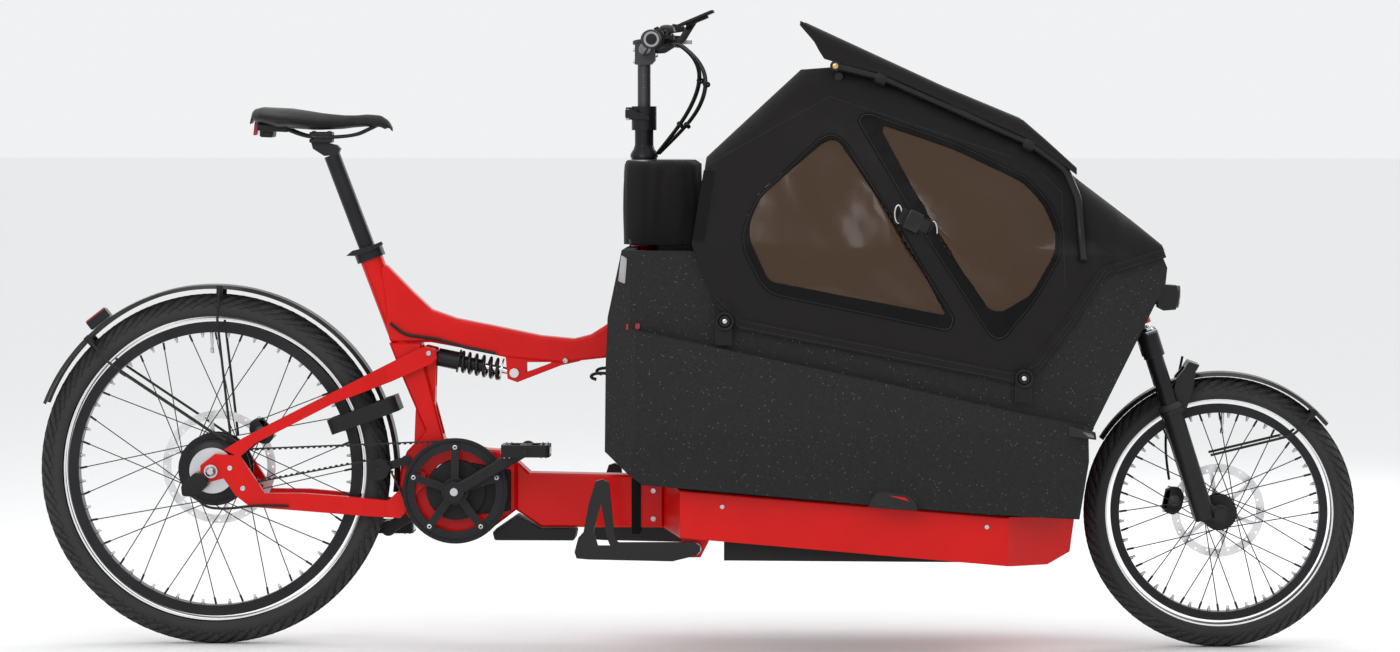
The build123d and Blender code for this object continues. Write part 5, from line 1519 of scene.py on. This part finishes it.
def makeDisplay():
    look = displayLook
    front, rear = Vector(look["front"]), Vector(look["rear"])
    run = (front - rear).normalized()
    up = Vector((-run.y, run.x))

    def slabAt(first, last, low, high, half, soft, material):
        corners = [rear + run * first + up * low, rear + run * last + up * low,
                   rear + run * last + up * high, rear + run * first + up * high]
        return (plate([tuple(c) for c in corners], -half, half, soft, 3), material)

    length = (front - rear).length
    parts = [
        slabAt(0.0, length, -0.0035, 0.0025, look["half"], 0.002, mouldedPlastic),
        slabAt(0.004, length - 0.004, 0.0022, 0.0031, look["half"] - 0.004, 0.0006, glossBlack),
        slabAt(0.012, length - 0.014, -0.0085, -0.0032, look["half"] - 0.010, 0.0015, mouldedPlastic),
        (plate(rounded([(-0.010, 1.198), (-0.019, 1.193), (-0.031, 1.172), (-0.052, 1.160), (-0.064, 1.154),
                        (-0.0769, 1.151), (-0.0769, 1.141), (-0.058, 1.142), (-0.044, 1.151),
                        (-0.020, 1.164), (-0.008, 1.184), (0.006, 1.206)], 0.004), -0.0065, 0.0065,
               0.0015), blackAnodised),
    ]
    for y in (-0.009, 0.009):
        parts.append((turned([(0.0055, -0.0025), (0.0055, 0.0025), (0.0, 0.0028)], (-0.012, y, 1.1925),
                             (0, 1, 0), sides=18), steel))
    made = piece("display_unit", parts, "riser")
    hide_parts("display")
    extras = []
    remote = rounded([(-0.060, 1.180), (-0.030, 1.184), (-0.026, 1.194), (-0.040, 1.199), (-0.058, 1.196)],
                     0.004)
    extras.append((plate(remote, 0.148, 0.176, 0.003, 3), mouldedPlastic))
    for x, y in ((-0.048, 0.156), (-0.048, 0.168), (-0.037, 0.162)):
        extras.append((turned([(0.0036, 0.0), (0.0036, 0.0015), (0.0, 0.0020)], (x, y, 1.1975),
                              (0.1, 0, 1), sides=16),
                       gripRubber))
    dome = [(0.0165, 0.0), (0.0165, 0.003), (0.0150, 0.008), (0.0110, 0.012), (0.0055, 0.0138),
            (0.0, 0.0142)]
    extras.append((turned(dome, (-0.049, -0.150, 1.1820), (0, 0, 1), sides=30), blackPaint))
    extras.append((block((0.020, 0.010, 0.008), (-0.060, -0.150, 1.1800), 0.2, 0.002), mouldedPlastic))
    extras.append((block((0.010, 0.006, 0.016), (-0.066, -0.168, 1.184), -0.4, 0.002), mouldedPlastic))
    shifter = rounded([(-0.078, 1.186), (-0.060, 1.187), (-0.052, 1.180), (-0.058, 1.150),
                       (-0.078, 1.149)], 0.004)
    extras.append((plate(shifter, -0.204, -0.192, 0.002, 3), mouldedPlastic))
    for side in (-1, 1):
        extras.append((block((0.012, 0.020, 0.010), (-0.060, side * 0.178, 1.1795), 0.0, 0.002),
                       blackAnodised))
    piece("bar_controls", extras, "riser")


def makeStemBolts():
    spots = [((-0.1165, y, z), (-1, 0, 0), (0, 0, 1)) for y in (-0.012, 0.012) for z in (1.126, 1.149)]
    spots += [((-0.0765, y, z), (1, 0, 0), (0, 0, 1)) for y in (-0.014, 0.014) for z in (1.138, 1.158)]
    scatter("stem_bolts", spots, socketBolt(0.0040, 0.0035), steel, "riser")
    marks = []
    for index in range(9):
        marks.append(((columnX, -0.01248, 1.052 + 0.006 * index), (0, -1, 0), (1, 0, 0),
                      (1.0 if index % 4 else 1.7, 1, 1)))
    scatter("height_marks", marks, smallBlock((0.0009, 0.0009, 0.00008), 0.00002), greyMark, "riser")
    slots = [((columnX + 0.0115 * math.cos(a), -0.0178 * math.sin(a), 0.975), (0, -1, 0), (0, 0, 1))
             for a in (1.2, 1.9)]
    scatter("column_slots", slots, smallBlock((0.045, 0.003, 0.0006), 0.0002), glossBlack, "column")
    bolt = [((-0.130, -0.0078, 1.026 + dz), (0, -1, 0), (1, 0, 0)) for dz in (-0.010, 0.006)]
    scatter("collar_bolts", bolt, socketBolt(0.0032, 0.003), steel, "column")
    flare = [(0.0181, 0.0), (0.0270, 0.0), (0.0262, 0.007), (0.0205, 0.016), (0.0182, 0.024)]
    piece("column_flare", [(turned(flare, (columnX, 0, 0.9415), (0, 0, 1), sides=36), blackAnodised)],
          "column")


makeGrips()
makeDisplay()
makeStemBolts()
print("cockpit made")


# brake calipers, the hub's shift box, bolts, trims, lenses and pedal pins
def turnedPlace(angle, centre, y, reach):
    way = Vector((math.cos(angle), 0, math.sin(angle)))
    return Vector((centre[0], y, centre[1])) + way * reach, way


caliperLooks = {
    "rear": {"centre": rearHub, "angle": 40.0, "radius": 0.108, "y": 0.055, "body": "swingarm",
             "node": "rear_caliper", "half": 0.0085},
    "front": {"centre": frontHub, "angle": 167.5, "radius": 0.088, "y": 0.038, "body": "fork_lowers",
              "node": "front_caliper", "half": 0.0070},
}


def makeCaliper(label, look):
    angle = math.radians(look["angle"])
    place, way = turnedPlace(angle, look["centre"], look["y"], look["radius"])
    turn = Matrix.Translation(place) @ Matrix.Rotation(-angle, 4, "Y")
    parts = []
    outline = rounded([(-0.006, -0.028), (0.012, -0.025), (0.019, -0.012), (0.019, 0.012), (0.012, 0.025),
                       (-0.006, 0.028), (-0.019, 0.014), (-0.019, -0.014)], 0.006)
    for side in (-1, 1):
        parts.append((moved(plate(outline, side * 0.0022, side * look["half"], 0.0015), turn),
                      blackAnodised))
        cap = [(0.0, 0.0), (0.0110, 0.0), (0.0110, 0.0012), (0.0085, 0.0020), (0.0, 0.0020)]
        cup = turned([(r, a * side) for r, a in cap], (-0.002, side * look["half"], 0), (0, 1, 0), sides=28)
        parts.append((moved(cup, turn), greyAnodised))
    bridge = block((0.012, look["half"] * 2, 0.040), (0.0135, 0, 0), 0, 0.002)
    parts.append((moved(bridge, turn), blackAnodised))
    for z in (-0.022, 0.022):
        bolt = turned([(0.0, -0.004), (0.004, -0.004), (0.004, 0.004), (0.0022, 0.004), (0.0, 0.002)],
                      (0.012, 0, z), (1, 0, 0), sides=16)
        parts.append((moved(bolt, turn), steel))
    banjo = turned([(0.0045, -0.004), (0.0045, 0.004), (0.0, 0.005)], (0.004, look["half"] + 0.003, 0.022),
                   (0, 1, 0), sides=16)
    parts.append((moved(banjo, turn), steel))
    made = piece(label + "_caliper_body", parts, look["body"])
    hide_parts(look["node"])


for label, look in caliperLooks.items():
    makeCaliper(label, look)


# bolt heads on the outside of the frame
boltRows = {
    "frame_bolts": {"body": "frame", "size": (0.0052, 0.003), "slot": "steel", "spots": [
        ("lower_beam", -0.080, 0.300), ("lower_beam", -0.080, 0.246), ("top_beam", -0.250, 0.551),
        ("seat_tube_frame", -0.400, 0.365)]},
    "swingarm_bolts": {"body": "swingarm", "size": (0.0050, 0.003), "slot": "steel", "spots": [
        ("swingarm", -0.893, 0.345), ("swingarm", -0.868, 0.306), ("swingarm", -0.512, 0.565)]},
    "tray_bolts": {"body": "frame", "size": (0.0045, 0.003), "slot": "steel", "spots": [
        ("front_tray", 0.060, 0.285), ("front_tray", 0.560, 0.248)]},
}
for name, look in boltRows.items():
    spots = []
    for node, x, z in look["spots"]:
        for side in (-1, 1):
            place, normal = sideAt(node, x, z, side)
            spots.append((tuple(place), tuple(normal), (1, 0, 0)))
    scatter(name, spots, socketBolt(*look["size"]), steel, look["body"])


def makeFrameTrims():
    parts = []
    joint = rounded([(-0.122, 0.216), (-0.104, 0.216), (-0.104, 0.331), (-0.122, 0.331)], 0.002)
    for side in (-1, 1):
        parts.append((plate(joint, side * 0.0318, side * 0.0340, 0.0006), bandVinyl))
    piece("beam_joint_band", parts, "frame")
    parts = []
    for side in (-1, 1):
        lug = [(0.0, 0.0), (0.0125, 0.0), (0.0125, 0.003), (0.0105, 0.005), (0.0065, 0.005),
               (0.0065, 0.002), (0.0, 0.002)]
        parts.append((turned([(r, a * side) for r, a in lug], (0.008, side * 0.2405, 0.205), (0, 1, 0),
                             sides=28),
                      steel))
    piece("stand_pivot_caps", parts, "stand")


makeFrameTrims()

# trims set into the box: reflector, latch, pull tab, hook and the floor cut-out
boxTrims = {
    "reflector": ([(-0.136, 0.712), (-0.122, 0.708), (-0.118, 0.756), (-0.130, 0.762)], greyReflector,
                  0.0025),
    "pull_tab": ([(-0.120, 0.6215), (-0.094, 0.6225), (-0.093, 0.634), (-0.119, 0.633)], redReflector,
                 0.0035),
    "latch": ([(0.716, 0.436), (0.758, 0.427), (0.761, 0.420), (0.718, 0.427)], greyMark, 0.0025),
    "latch_slot": ([(0.712, 0.441), (0.763, 0.431), (0.765, 0.416), (0.714, 0.422)], glossBlack, 0.0012),
    "cut_rim": ([(0.336, 0.288), (0.344, 0.306), (0.356, 0.318), (0.412, 0.312), (0.424, 0.298),
                 (0.430, 0.282)],
                glossBlack, 0.0010),
    "cut_red": ([(0.348, 0.291), (0.354, 0.302), (0.363, 0.311), (0.406, 0.306), (0.415, 0.296),
                 (0.419, 0.286)],
                framePaint, 0.0016),
}


def makeBoxTrims():
    parts = []
    for outline, material, lift in boxTrims.values():
        soft = rounded(outline, 0.003)
        for side in (-1, 1):
            blank = bmesh.new()
            lower = []
            upper = []
            for x, z in soft:
                try:
                    place, _ = sideAt("cargo_box", x, z, side)
                except ValueError:
                    place = Vector((x, side * 0.300, z))
                lower.append(blank.verts.new((x, place.y - side * 0.0006, z)))
                upper.append(blank.verts.new((x, place.y + side * lift, z)))
            blank.faces.new(upper)
            blank.faces.new(lower[::-1])
            for index in range(len(soft)):
                after = (index + 1) % len(soft)
                blank.faces.new((lower[index], lower[after], upper[after], upper[index]))
            parts.append((toMesh(blank), material))
    hook = hose([(-0.162, -0.10, 0.529), (-0.180, -0.10, 0.531), (-0.196, -0.10, 0.527),
                 (-0.196, -0.10, 0.520), (-0.186, -0.10, 0.518)], 0.0032)
    parts += [(hook, mouldedPlastic), (mirrored(hook), mouldedPlastic)]
    piece("box_trims", parts, "frame")
    rail = rounded([(-0.122, 0.7755), (-0.006, 0.7755), (-0.004, 0.7865), (-0.124, 0.7865)], 0.002)
    piece("sleeve_rail", [(plate(rail, -0.116, 0.116, 0.0012), greyAnodised)], "frame")


makeBoxTrims()


def makeHubBox():
    centre = Vector((-0.929, -0.060, 0.339))
    parts = []
    dish = [(0.020, 0.0), (0.052, 0.0), (0.058, 0.004), (0.058, 0.008), (0.0200, 0.010)]
    parts.append((turned([(r, a) for r, a in dish], (centre.x, -0.046, centre.z), (0, 1, 0), sides=60,
                         closed=True), blackAnodised))
    piece("hub_cover", parts, "rear_wheel")
    box = rounded([(-0.958, 0.338), (-0.936, 0.330), (-0.934, 0.312), (-0.960, 0.290), (-0.984, 0.292),
                   (-0.986, 0.312)], 0.006)
    bits = [(plate(box, -0.080, -0.100, 0.003, 3), mouldedPlastic)]
    bits.append((hose([(-0.962, -0.090, 0.300), (-0.950, -0.094, 0.272), (-0.900, -0.094, 0.266),
                       (-0.840, -0.088, 0.275), (-0.780, -0.078, 0.272)], 0.0025), cableJacket))
    nut = [(0.0, -0.103), (0.0055, -0.103), (0.0085, -0.100), (0.0105, -0.094), (0.0105, -0.090)]
    bits.append((turned(nut, (centre.x, 0, centre.z), (0, 1, 0), sides=24), steel))
    piece("hub_shift_box", bits, "swingarm")


makeHubBox()


def makeCrankTrims():
    spots = []
    for index in range(5):
        angle = math.radians(index * 72 + 18)
        reach = 0.09629 - 0.012
        spots.append(((-0.460 + reach * math.cos(angle), -0.0708, 0.301 + reach * math.sin(angle)),
                      (0, -1, 0), (1, 0, 0)))
    scatter("chainring_bolts", spots, socketBolt(0.0045, 0.0022), steel, "crank")
    guard = [(0.0985, -0.0655), (0.1010, -0.0665), (0.1015, -0.0690), (0.0985, -0.0700), (0.0940, -0.0690)]
    parts = [(turned(guard, (-0.460, 0, 0.301), (0, 1, 0), sides=96, closed=True), mouldedPlastic)]
    cap = [(0.0, -0.1022), (0.0075, -0.1022), (0.0085, -0.1010), (0.0085, -0.0990)]
    parts.append((turned(cap, (-0.460, 0, 0.301), (0, 1, 0), sides=24), steel))
    cap = [(0.0, 0.1022), (0.0075, 0.1022), (0.0085, 0.1010), (0.0085, 0.0990)]
    parts.append((turned(cap, (-0.460, 0, 0.301), (0, 1, 0), sides=24), steel))
    piece("crank_guard", parts, "crank")
    for side, body in ((-1, "right_pedal"), (1, "left_pedal")):
        angle = math.radians(30.5 if side < 0 else 210.5)
        x, z = -0.460 + 0.165 * math.cos(angle), 0.301 + 0.165 * math.sin(angle)
        pins = []
        for dx in (-0.040, -0.030, 0.030, 0.040):
            for dy in (0.022, 0.054, 0.086):
                for up in (-1, 1):
                    pins.append(((x + dx, side * (0.0920 + dy), z + up * 0.0112), (0, 0, up), (1, 0, 0)))
        scatter(body + "_pins", pins, turned([(0.0018, 0.0), (0.0018, 0.0022), (0.0, 0.0026)], (0, 0, 0),
                                             (0, 0, 1), sides=8), steel, body)
        plates = [(block((0.0016, 0.060, 0.013), (x + dx, side * 0.146, z), 0, 0.0005), greyReflector)
                  for dx in (-0.0462, 0.0462)]
        piece(body + "_reflectors", plates, body)


makeCrankTrims()


def makeLamps():
    front = [(0.0, 0.0), (0.017, 0.0), (0.0195, 0.001), (0.0195, 0.003), (0.017, 0.0038), (0.012, 0.006),
             (0.0, 0.0065)]
    way = Vector((1.0, 0, -0.08)).normalized()
    lens = turned(front, (0.9275, 0, 0.6745), way, sides=32)
    bezel = turned([(0.0185, -0.012), (0.0215, -0.012), (0.0218, 0.003), (0.0195, 0.004), (0.0185, 0.001)],
                   (0.9275, 0, 0.6745), way, sides=32, closed=True)
    piece("headlight_lens", [(lens, lampLens), (bezel, glossBlack)], "frame")
    angle = math.radians(128.0)
    place = Vector((-0.929 + 0.376 * math.cos(angle), 0, 0.339 + 0.376 * math.sin(angle)))
    body = Matrix.Translation(place) @ Matrix.Rotation(math.radians(-38), 4, "Y")
    blank = block((0.046, 0.026, 0.006), (0.0, 0, 0.0), 0, 0.002, 3)
    piece("tail_lens", [(moved(blank, body), redReflector)], "swingarm")


makeLamps()


def makeForkTrims():
    lean = math.radians(17.5)
    up = Vector((-math.sin(lean), 0, math.cos(lean)))
    top = Vector((0.868, 0, 0.605))
    parts, hoses = [], []
    for side in (-1, 1):
        at = Vector((top.x, side * 0.065, top.z))
        parts.append((turned([(0.0205, -0.004), (0.0205, 0.002), (0.0185, 0.004), (0.0125, 0.004),
                              (0.0115, 0.008), (0.0, 0.008)], at + up * 0.003, up, sides=30), chrome))
        seal = [(0.0163, 0.0), (0.0228, 0.0), (0.0232, 0.004), (0.0215, 0.009), (0.0175, 0.012),
                (0.0163, 0.012)]
        hoses.append((turned(seal, at - up * 0.1515, up, sides=36, closed=True), gripRubber))
    piece("fork_caps", parts, "fork")
    line = [(0.940, 0.066, 0.556), (0.930, 0.084, 0.500), (0.912, 0.086, 0.440), (0.905, 0.080, 0.380),
            (0.915, 0.058, 0.318)]
    hoses.append((hose(line, 0.0025, order=4), cableJacket))
    piece("fork_seals", hoses, "fork_lowers")


makeForkTrims()


def makeFenderTrims():
    for label, centre, radius, angles, body in (("rear", rearHub, 0.3585, (88.0, 134.0), "swingarm"),
                                                ("front", frontHub, 0.2725, (47.0,), "fork_lowers")):
        spots = []
        for angle in angles:
            for side in (-1, 1):
                place, way = turnedPlace(math.radians(angle), centre, side * 0.0375, radius - 0.012)
                spots.append((tuple(place), (0, side, 0), tuple(way)))
        scatter(label + "_fender_clips", spots, block((0.020, 0.012, 0.005), (0, 0, 0.0), 0, 0.0015),
                mouldedPlastic, body)


makeFenderTrims()
print("details made")


# each cloth, with the size it was cut to
clothCuts = {
    "canopy_cover": {"flat": (1.55, 1.15), "area": 1.13, "rests": ["canopy_bow_tubes", "cargo_box"],
                     "with": ["canopy_stitches", "canopy_tabs", "canopy_knobs"]},
    "canopy_roof": {"flat": (0.55, 0.60), "area": None, "rests": ["canopy_bow_tubes"], "with": []},
    "column_sleeve": {"flat": (0.75, 0.19), "area": None, "rests": ["cargo_box"], "with": []},
    "canopy_windows": {"flat": (0.75, 0.45), "area": 0.306, "rests": ["canopy_cover"], "with": []},
    "front_window": {"flat": (0.36, 0.18), "area": None, "rests": ["canopy_cover"], "with": []},
}
for name, cut in clothCuts.items():
    holder = bpy.data.objects[name]


# floor, light and camera
def makeStage():
    blank = bmesh.new()
    bmesh.ops.create_grid(blank, x_segments=1, y_segments=1, size=60.0)
    mesh = toMesh(blank)
    floorFinish = finish("studio floor", (0.93, 0.93, 0.93), roughness=0.9, specular=0.1, edgeRadius=0.0,
                         dust=0.0, tone=0.01, grainDepth=0.00001)
    mesh.materials.append(floorFinish)
    floor = bpy.data.objects.new("studio_floor", mesh)
    bpy.context.scene.collection.objects.link(floor)
    world = bpy.data.worlds.new("studio")
    bpy.context.scene.world = world
    world.use_nodes = True
    background = world.node_tree.nodes["Background"]
    background.inputs[0].default_value = (0.95, 0.96, 0.97, 1.0)
    background.inputs[1].default_value = 0.92


studioLights = {
    "overhead": {"place": (0.2, 0.4, 4.2), "aim": (0.0, 0.0, 0.6), "size": (5.0, 2.2), "power": 50.0},
    "nearSide": {"place": (-1.8, -5.5, 3.2), "aim": (0.0, 0.0, 0.6), "size": (3.6, 2.4), "power": 80.0},
    "farSide": {"place": (3.2, 3.4, 2.4), "aim": (0.0, 0.0, 0.6), "size": (2.0, 2.0), "power": 50.0},
}


def makeLights():
    for name, look in studioLights.items():
        lamp = bpy.data.lights.new(name, "AREA")
        lamp.shape = "RECTANGLE"
        lamp.size, lamp.size_y = look["size"]
        lamp.energy = look["power"]
        holder = bpy.data.objects.new(name, lamp)
        holder.location = look["place"]
        way = Vector(look["aim"]) - Vector(look["place"])
        holder.rotation_euler = way.to_track_quat("-Z", "Y").to_euler()
        bpy.context.scene.collection.objects.link(holder)


cameraLook = {"place": (0.4514, -12.0, 1.1284), "aim": (0.0087, 0.0, 0.6164), "angle": 12.82}


def makeCamera():
    data = bpy.data.cameras.new("camera")
    data.sensor_width = 36.0
    data.lens = data.sensor_width / 2 / math.tan(math.radians(cameraLook["angle"] / 2))
    data.clip_end = 200.0
    holder = bpy.data.objects.new("camera", data)
    holder.location = cameraLook["place"]
    way = Vector(cameraLook["aim"]) - Vector(cameraLook["place"])
    holder.rotation_euler = way.to_track_quat("-Z", "Y").to_euler()
    bpy.context.scene.collection.objects.link(holder)
    bpy.context.scene.camera = holder


makeStage()
makeLights()
makeCamera()
bpy.context.scene.view_settings.view_transform = "Standard"
